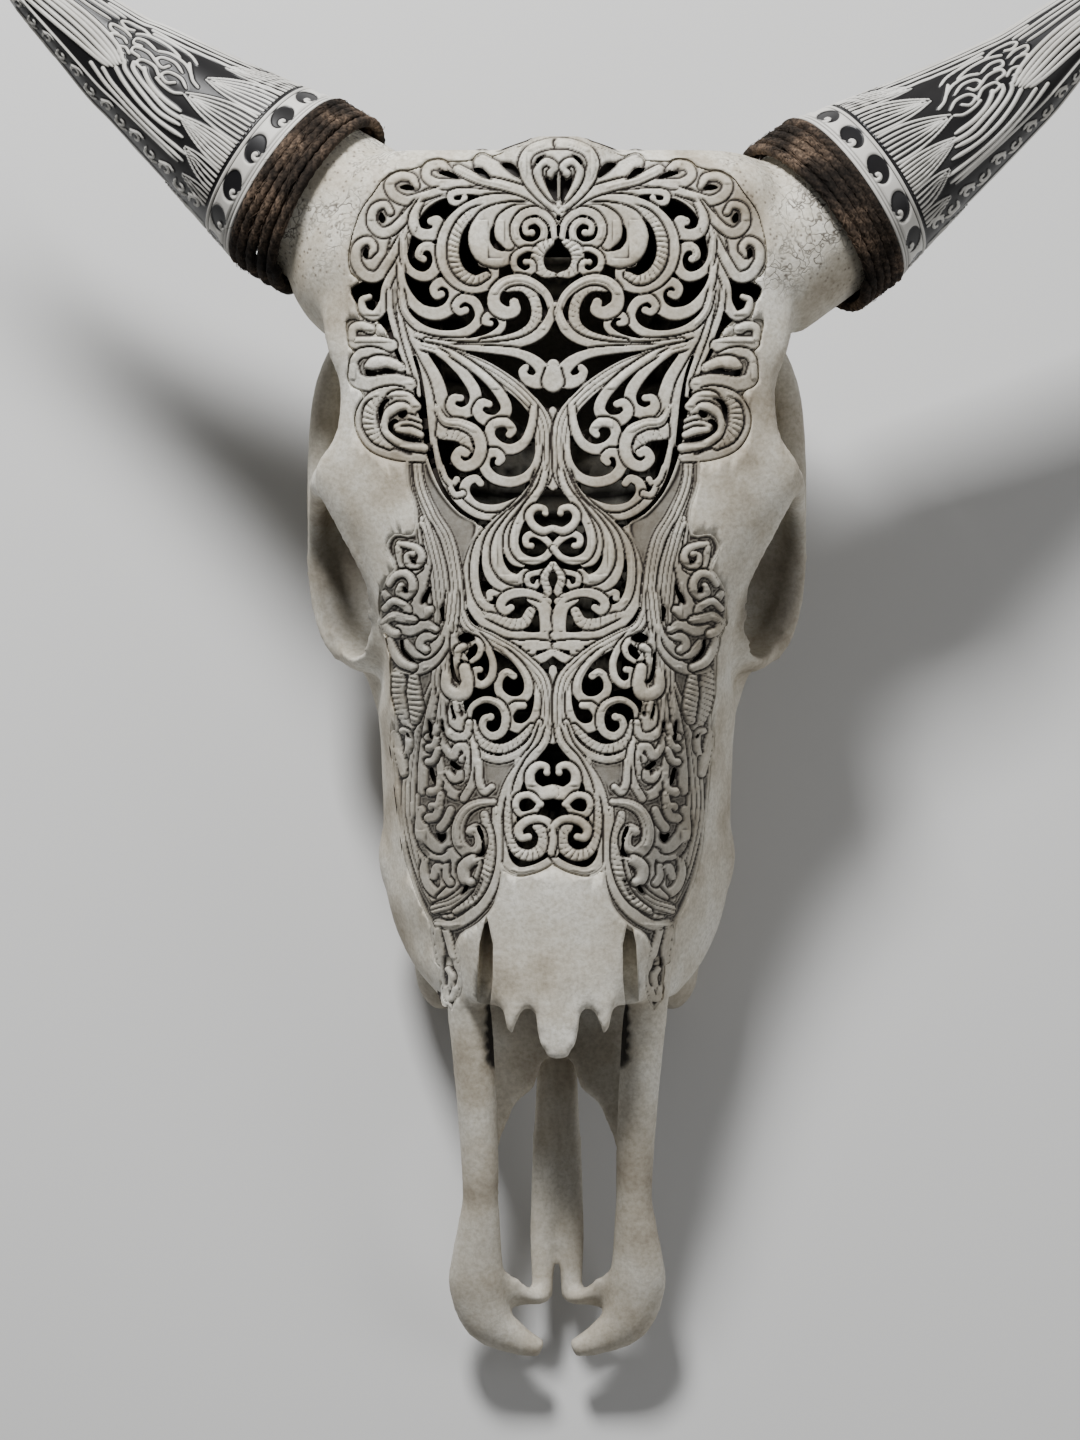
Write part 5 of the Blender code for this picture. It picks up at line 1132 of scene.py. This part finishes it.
def hornSkin(name, side):
    """The sheath: rings of points along the horn's line, closer together at the front and near the base,
    raised where a stroke runs and sunk between."""
    rows, columns = hornDrawing["rows"], hornDrawing["columns"]
    run = np.linspace(0, 1, rows)
    s = horn["sheathStart"] + (horn["length"] - horn["sheathStart"]) * (0.58 * run + 0.1 * run**2 + 0.32 * run**4)
    even = np.linspace(-math.pi, math.pi, columns, endpoint=False)
    S, T = np.meshgrid(s, even - 0.5 * np.sin(even), indexing="ij")
    d = HornDrawing(S, T)
    d.border()
    for kind, width in (("fingers", 1.75), ("scrolls", 1.15), ("lines", 1.2)):
        for text in hornDrawing[kind]:
            d.stroke(width, d.place(*pointsOf(text).T))
    for fan in hornDrawing["fans"]:
        d.fan(*fan)
    d.ring()
    raised = 1 - ease(-0.45, 0.35, d.clear)
    fade = 1 - ease(200, 245, S)
    lift = (raised * (hornDrawing["rise"] + hornDrawing["sink"]) - hornDrawing["sink"]) * fade
    points = hornSurface(side, S, T, hornRadius(S) + lift)
    inner = hornSurface(side, np.full_like(S[:1], horn["sheathStart"]), T[:1], np.full_like(S[:1], 33.0))
    body, faces = loft(np.concatenate([inner, points]))
    obj = gathered(name, [(body, faces)])
    edge = np.where(fade > 0.5, d.clear, 5)
    store(obj, "stroke", np.concatenate([np.full(columns, 3.0), edge.ravel(), [3.0, 3.0]]))
    return obj


rope = {"start": 2.5, "end": 21.9, "seat": 39.5, "turns": 5.1, "level": 0.45, "thick": 2.4, "steps": 1000,
        "sides": 14, "lay": 10.0, "strands": 3}


def ropeWinding(name, side):
    """A cord carried along a spiral round the horn's line. Its section is three round strands that turn with
    the length, so r = thick * (0.8 + 0.2 |cos| of the strand angle)."""
    t = np.linspace(0, 1, rope["steps"])
    rng = np.random.default_rng(7 + side)
    sway = sum(np.sin(2 * math.pi * (k * rope["turns"] * t + rng.random())) / k for k in (2, 3, 5, 8)) * 0.32
    climb = np.clip((rope["turns"] * t - rope["level"]) / (rope["turns"] - 2 * rope["level"]), 0, 1)
    s = rope["start"] + (rope["end"] - rope["start"]) * climb + sway * 0.5
    turn = 2 * math.pi * rope["turns"] * t + 1.0
    seat = rope["seat"] + 0.25 * sway
    line = hornSurface(side, s, turn, seat + 0 * t)
    place, first, second = hornFrames(side, s)
    out = unit(line - place * (side, 1, 1))
    along = unit(np.gradient(line, axis=0))
    beside = np.cross(along, out)
    length = np.concatenate([[0], np.cumsum(np.linalg.norm(np.diff(line, axis=0), axis=1))])
    a = np.linspace(0, 2 * math.pi, rope["sides"], endpoint=False)
    phase = rope["strands"] / 2 * (a[None] + 2 * math.pi * length[:, None] / rope["lay"] / rope["strands"] * 2)
    r = rope["thick"] * (0.74 + 0.26 * np.abs(np.cos(phase)) ** 0.7)
    fuzz = rng.normal(0, 0.07, r.shape)
    r = (r + fuzz) * (ease(0, 0.004, t) * ease(0, 0.004, 1 - t))[:, None]
    ring = line[:, None] + out[:, None] * (r * np.cos(a))[..., None] + beside[:, None] * (r * np.sin(a))[..., None]
    points, faces = loft(ring)
    obj = gathered(name, [(points, faces)])
    # crown also sets painted shade: the cord is painted near black where it is low, between the strands.
    store(obj, "crown", np.concatenate([(np.abs(np.cos(phase)) ** 0.7).ravel(), [0, 0]]))
    return obj


def ropeFibres(name, side):
    """Loose hairs of the cord: short thin three-sided tubes that bow out of the winding."""
    rng = np.random.default_rng(31 + side)
    count, steps = 420, 6
    t = np.linspace(0, 1, steps)
    s0 = rng.uniform(2, 22, count)[:, None] + rng.normal(0, 2.2, count)[:, None] * t
    turn = rng.uniform(0, 2 * math.pi, count)[:, None] + rng.uniform(0.08, 0.3, count)[:, None] * t
    high = 41.0 + rng.uniform(0.2, 1.3, count)[:, None] * np.sin(math.pi * t) - 0.8 * (t < 0.01)
    line = hornSurface(side, s0, turn, high)
    place = hornFrames(side, s0)[0] * (side, 1, 1)
    out = unit(line - place)
    beside = np.cross(unit(np.gradient(line, axis=1)), out)
    a = 2 * math.pi * np.arange(3) / 3
    thick = 0.2 * (1 - 0.6 * t)[None, :, None, None]
    ring = line[:, :, None] + thick * (out[:, :, None] * np.cos(a)[:, None] + beside[:, :, None] * np.sin(a)[:, None])
    obj = gathered(name, [loft(hair) for hair in ring])
    # The hairs get crown 1, so no painted shade between strands darkens them.
    store(obj, "crown", np.ones(len(obj.data.vertices)))
    return obj


tooth = {
    "list": [("premolar_1", 17, 16), ("premolar_2", 19, 18), ("premolar_3", 19, 20),
             ("molar_1", 23, 22), ("molar_2", 27, 23), ("molar_3", 29, 22)],
    "rowStart": 163.0, "rowX": (47.0, 60.0), "gap": 1.0, "tall": 25.0, "lobe": 1.8,
}


def toothSkin(name, side, x, y, length, width):
    """Rings from the grinding face up: the drawn outline, bowed by ribs on the cheek side, narrowing to the root."""
    a, b, lobe = length / 2, width / 2, tooth["lobe"]
    half = [(b - lobe, -a), (b, -a * 0.55), (b - lobe * 1.25, -a * 0.05), (b, a * 0.5), (b - lobe, a * 0.98),
            (-b * 0.6, a * 0.96), (-b, a * 0.4), (-b * 0.86, 0), (-b, -a * 0.45), (-b * 0.6, -a * 0.96)]
    outline = spline(half, 6, endless=True)
    rings = []
    for share, rise in ((0.0, 1.6), (0.25, 0.2), (0.34, 1.5), (0.55, 0.9), (0.62, 1.6), (0.86, 0.0), (0.97, 0.1), (1, 0.9)):
        rings.append(np.column_stack([outline * share, np.full(len(outline), rise)]))
    for up in np.linspace(2, tooth["tall"], 14):
        k = up / tooth["tall"]
        swell = 1 - 0.012 * np.sin(up * 2.1)
        rings.append(np.column_stack([outline * (1 - 0.14 * k, 1 - 0.08 * k) * swell, np.full(len(outline), up)]))
    rings = np.array(rings[::-1])
    where = np.array(fromTable(0, 0, 0))
    c, s = math.cos(faceFrame["slope"]), math.sin(faceFrame["slope"])
    flat = rings * (side, 1, 1) + (side * x, y, 0)
    turned = np.stack([flat[..., 0], flat[..., 1] * c + flat[..., 2] * s, -flat[..., 1] * s + flat[..., 2] * c], -1)
    obj = gathered(name, [loft(turned + where)])
    store(obj, "up", np.concatenate([rings[..., 2].ravel(), [tooth["tall"], 1.6]]))
    return obj


def makeTeeth():
    total = sum(length for _, length, _ in tooth["list"]) + tooth["gap"] * (len(tooth["list"]) - 1)
    made, y = [], tooth["rowStart"]
    for word, length, width in tooth["list"]:
        middle = y + length / 2
        x0, x1 = tooth["rowX"]
        x = x0 + (x1 - x0) * (middle - tooth["rowStart"]) / total
        for side, sideName in ((-1, "left"), (1, "right")):
            made.append((toothSkin(f"enamel_{sideName}_{word}", side, x, middle, length, width), f"{sideName}_{word}"))
        y += length + tooth["gap"]
    return made


horns = {side: hornSkin(f"sheath_{word}", side) for side, word in ((-1, "left"), (1, "right"))}
report("horns")
ropes = {side: (ropeWinding(f"cord_{word}", side), ropeFibres(f"cord_hairs_{word}", side))
         for side, word in ((-1, "left"), (1, "right"))}
report("ropes")
teeth = makeTeeth()
report("teeth")


# Finishes
def newMaterial(name):
    made = bpy.data.materials.new(name)
    made.use_nodes = True
    nodes, links = made.node_tree.nodes, made.node_tree.links
    return made, nodes, links, nodes["Principled BSDF"]


def simpleMaterial(name, colour, roughness):
    made, nodes, links, shader = newMaterial(name)
    shader.inputs["Base Color"].default_value = (*colour, 1)
    shader.inputs["Roughness"].default_value = roughness
    return made


def put(nodes, kind, **settings):
    """A node with its settings; a name that a socket has goes to that socket."""
    node = nodes.new(kind)
    for key, value in settings.items():
        if hasattr(node, key):
            setattr(node, key, value)
        else:
            node.inputs[key.replace("_", " ")].default_value = value
    return node


def ramp(nodes, stops):
    node = nodes.new("ShaderNodeValToRGB")
    band = node.color_ramp
    while len(band.elements) < len(stops):
        band.elements.new(0.5)
    for element, (place, colour) in zip(band.elements, stops):
        element.position = place
        element.color = (*colour, 1) if len(colour) == 3 else colour
    return node


def mixed(nodes, links, factor, a, b, kind="MIX"):
    """Colour a towards b; each of the three a socket or a constant."""
    node = nodes.new("ShaderNodeMix")
    node.data_type = "RGBA"
    node.blend_type = kind
    for key, value in (("Factor", factor), ("A", a), ("B", b)):
        socket = next(s for s in node.inputs if s.name == key and s.enabled)
        if isinstance(value, bpy.types.NodeSocket):
            links.new(value, socket)
        else:
            socket.default_value = value if key == "Factor" else (*value, 1)
    return next(s for s in node.outputs if s.enabled)


def attribute(nodes, name):
    node = nodes.new("ShaderNodeAttribute")
    node.attribute_name = name
    return node.outputs["Fac"]


def grainGroup():
    """Fine wear of bone, tooth and horn: a slow mottling, fine grain and little pits, from Object coordinates."""
    group = bpy.data.node_groups.new("grain", "ShaderNodeTree")
    face = group.interface
    face.new_socket("Place", in_out="INPUT", socket_type="NodeSocketVector")
    face.new_socket("Pits", in_out="INPUT", socket_type="NodeSocketFloat")
    for name in ("Mottle", "Grain", "Pit", "Crack"):
        face.new_socket(name, in_out="OUTPUT", socket_type="NodeSocketFloat")
    nodes, links = group.nodes, group.links
    given, result = nodes.new("NodeGroupInput"), nodes.new("NodeGroupOutput")
    slow = put(nodes, "ShaderNodeTexNoise", Scale=26.0, Detail=4.0, Roughness=0.6)
    fine = put(nodes, "ShaderNodeTexNoise", Scale=520.0, Detail=5.0, Roughness=0.65)
    cells = put(nodes, "ShaderNodeTexVoronoi", Scale=380.0)
    for node in (slow, fine, cells):
        links.new(given.outputs["Place"], node.inputs["Vector"])
    hole = put(nodes, "ShaderNodeMapRange", From_Min=0.0, From_Max=0.32, To_Min=1.0, To_Max=0.0)
    links.new(cells.outputs["Distance"], hole.inputs["Value"])
    much = put(nodes, "ShaderNodeMath", operation="MULTIPLY")
    links.new(hole.outputs["Result"], much.inputs[0])
    links.new(given.outputs["Pits"], much.inputs[1])
    links.new(slow.outputs["Fac"], result.inputs["Mottle"])
    links.new(fine.outputs["Fac"], result.inputs["Grain"])
    links.new(much.outputs["Value"], result.inputs["Pit"])
    shift = put(nodes, "ShaderNodeTexNoise", Scale=70.0, Detail=3.0)
    links.new(given.outputs["Place"], shift.inputs["Vector"])
    bent = put(nodes, "ShaderNodeMix", data_type="RGBA", blend_type="LINEAR_LIGHT")
    bent.inputs["Factor"].default_value = 0.02
    links.new(given.outputs["Place"], bent.inputs["A"] if bent.inputs["A"].enabled else bent.inputs[6])
    links.new(shift.outputs["Color"], bent.inputs[7])
    plates = put(nodes, "ShaderNodeTexVoronoi", feature="DISTANCE_TO_EDGE", Scale=150.0)
    links.new(bent.outputs[2], plates.inputs["Vector"])
    line = put(nodes, "ShaderNodeMapRange", From_Min=0.0, From_Max=0.1, To_Min=1.0, To_Max=0.0)
    links.new(plates.outputs["Distance"], line.inputs["Value"])
    patchy = put(nodes, "ShaderNodeMapRange", From_Min=0.46, From_Max=0.6, To_Min=0.0, To_Max=1.0)
    links.new(slow.outputs["Fac"], patchy.inputs["Value"])
    here = put(nodes, "ShaderNodeMath", operation="MULTIPLY")
    links.new(patchy.outputs["Result"], here.inputs[0])
    links.new(given.outputs["Pits"], here.inputs[1])
    crack = put(nodes, "ShaderNodeMath", operation="MULTIPLY")
    links.new(line.outputs["Result"], crack.inputs[0])
    links.new(here.outputs["Value"], crack.inputs[1])
    links.new(crack.outputs["Value"], result.inputs["Crack"])
    return group


grain = grainGroup()


def withGrain(nodes, links, pits):
    node = nodes.new("ShaderNodeGroup")
    node.node_tree = grain
    where = nodes.new("ShaderNodeTexCoord")
    links.new(where.outputs["Object"], node.inputs["Place"])
    if isinstance(pits, float):
        node.inputs["Pits"].default_value = pits
    else:
        links.new(pits, node.inputs["Pits"])
    return node


def boneMaterial():
    made, nodes, links, shader = newMaterial("bone")
    worn = withGrain(nodes, links, attribute(nodes, "pits"))
    tone = ramp(nodes, [(0.30, (0.36, 0.31, 0.235)), (0.43, (0.56, 0.51, 0.415)), (0.55, (0.70, 0.665, 0.575)),
                        (0.70, (0.80, 0.78, 0.71))])
    links.new(worn.outputs["Mottle"], tone.inputs["Fac"])
    grainTone = ramp(nodes, [(0.34, (0.66, 0.64, 0.60)), (0.60, (1.0, 1.0, 1.0))])
    links.new(worn.outputs["Grain"], grainTone.inputs["Fac"])
    colour = mixed(nodes, links, 0.75, tone.outputs["Color"], grainTone.outputs["Color"], "MULTIPLY")
    stained = mixed(nodes, links, attribute(nodes, "stain"), colour, (0.25, 0.225, 0.185), "MIX")
    speckled = mixed(nodes, links, worn.outputs["Crack"], stained, (0.065, 0.052, 0.040))
    pitted = mixed(nodes, links, worn.outputs["Pit"], speckled, (0.10, 0.075, 0.055))
    # Patina and painted shade: the carving's grooves, deep hollows and hole walls darkened towards black.
    filled = mixed(nodes, links, attribute(nodes, "patina_and_painted_shade"), pitted, (0.020, 0.014, 0.010))
    # Painted shade: the insides of the cavities, eye sockets and cut pits darkened nearly to black.
    lined = mixed(nodes, links, attribute(nodes, "inner"), filled, (0.010, 0.007, 0.005))
    links.new(lined, shader.inputs["Base Color"])
    shader.inputs["Roughness"].default_value = 0.62
    shader.inputs["Specular IOR Level"].default_value = 0.3
    bump = put(nodes, "ShaderNodeBump", Strength=0.35, Distance=0.0004)
    height = put(nodes, "ShaderNodeMath", operation="SUBTRACT")
    links.new(worn.outputs["Grain"], height.inputs[0])
    holes = put(nodes, "ShaderNodeMath", operation="MAXIMUM")
    links.new(worn.outputs["Pit"], holes.inputs[0])
    links.new(worn.outputs["Crack"], holes.inputs[1])
    links.new(holes.outputs["Value"], height.inputs[1])
    links.new(height.outputs["Value"], bump.inputs["Height"])
    links.new(bump.outputs["Normal"], shader.inputs["Normal"])
    return made


def hornMaterial():
    made, nodes, links, shader = newMaterial("carved_horn")
    worn = withGrain(nodes, links, 0.0)
    cut = put(nodes, "ShaderNodeMapRange", From_Min=-0.12, From_Max=0.22, To_Min=1.0, To_Max=0.0)
    links.new(attribute(nodes, "stroke"), cut.inputs["Value"])
    ivory = ramp(nodes, [(0.3, (0.50, 0.48, 0.44)), (0.7, (0.72, 0.71, 0.67))])
    links.new(worn.outputs["Mottle"], ivory.inputs["Fac"])
    black = ramp(nodes, [(0.3, (0.006, 0.006, 0.007)), (0.7, (0.016, 0.015, 0.015))])
    links.new(worn.outputs["Mottle"], black.inputs["Fac"])
    colour = mixed(nodes, links, cut.outputs["Result"], black.outputs["Color"], ivory.outputs["Color"])
    links.new(colour, shader.inputs["Base Color"])
    shader.inputs["Specular IOR Level"].default_value = 0.25
    rough = put(nodes, "ShaderNodeMapRange", From_Min=0.0, From_Max=1.0, To_Min=0.36, To_Max=0.5)
    links.new(cut.outputs["Result"], rough.inputs["Value"])
    links.new(rough.outputs["Result"], shader.inputs["Roughness"])
    return made


def ropeMaterial():
    made, nodes, links, shader = newMaterial("cord")
    where = nodes.new("ShaderNodeTexCoord")
    patch = put(nodes, "ShaderNodeTexNoise", Scale=55.0, Detail=3.0)
    fibre = put(nodes, "ShaderNodeTexNoise", Scale=900.0, Detail=3.0)
    for node in (patch, fibre):
        links.new(where.outputs["Object"], node.inputs["Vector"])
    tone = ramp(nodes, [(0.36, (0.013, 0.010, 0.008)), (0.52, (0.045, 0.034, 0.026)), (0.68, (0.15, 0.108, 0.078))])
    links.new(patch.outputs["Fac"], tone.inputs["Fac"])
    thread = ramp(nodes, [(0.35, (0.35, 0.33, 0.32)), (0.68, (1.5, 1.45, 1.4))])
    links.new(fibre.outputs["Fac"], thread.inputs["Fac"])
    colour = mixed(nodes, links, 1.0, tone.outputs["Color"], thread.outputs["Color"], "MULTIPLY")
    # Painted shade: where crown is low, in the grooves between the strands, the cord is darkened nearly to black.
    deep = mixed(nodes, links, attribute(nodes, "crown"), (0.006, 0.005, 0.004), colour)
    links.new(deep, shader.inputs["Base Color"])
    shader.inputs["Roughness"].default_value = 0.9
    shader.inputs["Specular IOR Level"].default_value = 0.15
    bump = put(nodes, "ShaderNodeBump", Strength=0.6, Distance=0.0004)
    links.new(fibre.outputs["Fac"], bump.inputs["Height"])
    links.new(bump.outputs["Normal"], shader.inputs["Normal"])
    return made


def toothMaterial():
    made, nodes, links, shader = newMaterial("enamel")
    worn = withGrain(nodes, links, 0.0)
    tone = ramp(nodes, [(0.3, (0.42, 0.34, 0.22)), (0.6, (0.62, 0.56, 0.45))])
    links.new(worn.outputs["Mottle"], tone.inputs["Fac"])
    stain = put(nodes, "ShaderNodeMapRange", From_Min=9.0, From_Max=15.0, To_Min=0.0, To_Max=0.75)
    links.new(attribute(nodes, "up"), stain.inputs["Value"])
    colour = mixed(nodes, links, stain.outputs["Result"], tone.outputs["Color"], (0.12, 0.075, 0.04))
    links.new(colour, shader.inputs["Base Color"])
    shader.inputs["Roughness"].default_value = 0.35
    return made


def wear(obj):
    """Where the plain bone is pitted and stained, and where painted shade darkens its insides, from its place in the
    face frame.
    """
    p = toFace(coordinates(obj))
    x, y, z = p.T
    X, Y = seenAt(p)
    depth = readAt(face, X, Y) - z
    # inner is painted shade: the nasal and forehead passages, the eye sockets (at 0.55) and the cut pits under the
    # carving are darkened nearly to black.
    inside = np.zeros(len(p))
    for line, wide, deep in skull["passages"][:4]:
        path = spline(line, 5)
        for (px, py, pz), w, h in zip(path, shared(wide, len(path)), shared(deep, len(path))):
            far = np.sqrt(((x - px) / w) ** 2 + ((z - pz) / h) ** 2 + ((y - py) / 7) ** 2)
            inside = np.maximum(inside, 1 - ease(1.0, 1.12, far))
    for side in (-1, 1):
        cx, cy, cz = skull["orbit"]["centre"]
        away = np.sqrt(((x - side * cx) / 34) ** 2 + ((y - cy) / 34) ** 2 + ((z - cz) / 36) ** 2)
        inside = np.maximum(inside, 0.55 * (1 - ease(0.75, 1.05, away)))
    d = readAt(drawnDomain, X, Y)
    pit = (d < 1.0) & (z > -carving["cutDepth"] - 1) & (depth > 1.5)
    inside = np.where(pit, np.maximum(inside, ease(1.0, 2.6, depth)), inside)
    store(obj, "inner", inside)
    boss = ease(52, 78, np.abs(x)) * ease(432, 455, y) * ease(-75, -40, z)
    store(obj, "pits", np.clip(0.9 * boss + 0.12, 0, 1))
    snout = ease(150, 60, y)
    store(obj, "stain", np.clip(0.30 * snout + 0.45 * ease(-60, -120, z), 0, 0.6))


finishes = {"bone": boneMaterial(), "horn": hornMaterial(), "rope": ropeMaterial(), "tooth": toothMaterial()}


def dressed(obj, finish, node):
    """Its finish and the piece of the part that it stands for."""
    obj.data.materials.clear()
    obj.data.materials.append(finishes[finish])
    obj.data.shade_smooth()
    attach(obj, "root")
    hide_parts(node)


wear(bone)
report("worn")
for piece in [bone, *carvedSkin]:
    dressed(piece, "bone", "skull")
for side, word in ((-1, "left"), (1, "right")):
    dressed(horns[side], "horn", f"{word}_horn")
    for piece in ropes[side]:
        dressed(piece, "rope", f"{word}_horn_rope")
for piece, node in teeth:
    dressed(piece, "tooth", node)
total = 0
for piece in bpy.context.scene.collection.objects:
    if piece.type == "MESH":
        count = sum(len(p.vertices) - 2 for p in piece.data.polygons)
        total += count
        print(piece.name, count)
print("triangles in all", total)

# Floor, camera and light
floor = newObject("floor", np.array([(-3, -3, 0), (3, -3, 0), (3, 4, 0), (-3, 4, 0)], float), [[0, 1, 2, 3]], world=True)
floor.data.materials.append(simpleMaterial("floor", (0.60, 0.60, 0.595), 0.8))
camera = bpy.data.objects.new("camera", bpy.data.cameras.new("camera"))
bpy.context.scene.collection.objects.link(camera)
camera.data.lens = eye["lens"]
camera.data.sensor_width = 36
camera.data.sensor_fit = "AUTO"
place = Vector(toWorld((eye["x"], eye["y"], eye["away"])))
camera.matrix_world = Matrix.Translation(place) @ Matrix.Rotation(faceFrame["slope"], 4, "X")
bpy.context.scene.camera = camera
world = bpy.data.worlds.new("studio")
world.use_nodes = True
world.node_tree.nodes["Background"].inputs["Color"].default_value = (1, 1, 1, 1)
world.node_tree.nodes["Background"].inputs["Strength"].default_value = 0.17
bpy.context.scene.world = world


def softLight(name, where, aim, size, watts):
    data = bpy.data.lights.new(name, "AREA")
    data.shape = "SQUARE"
    data.size = size
    data.energy = watts
    lamp = bpy.data.objects.new(name, data)
    bpy.context.scene.collection.objects.link(lamp)
    lamp.location = where
    lamp.rotation_euler = (Vector(aim) - Vector(where)).to_track_quat("-Z", "Y").to_euler()
    return lamp


softLight("key", (-0.35, 1.05, 1.35), (0, 0, 0.1), 0.35, 50)
softLight("fill", (1.3, -0.3, 1.1), (0, 0, 0.1), 0.8, 6)

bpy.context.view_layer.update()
report("done")
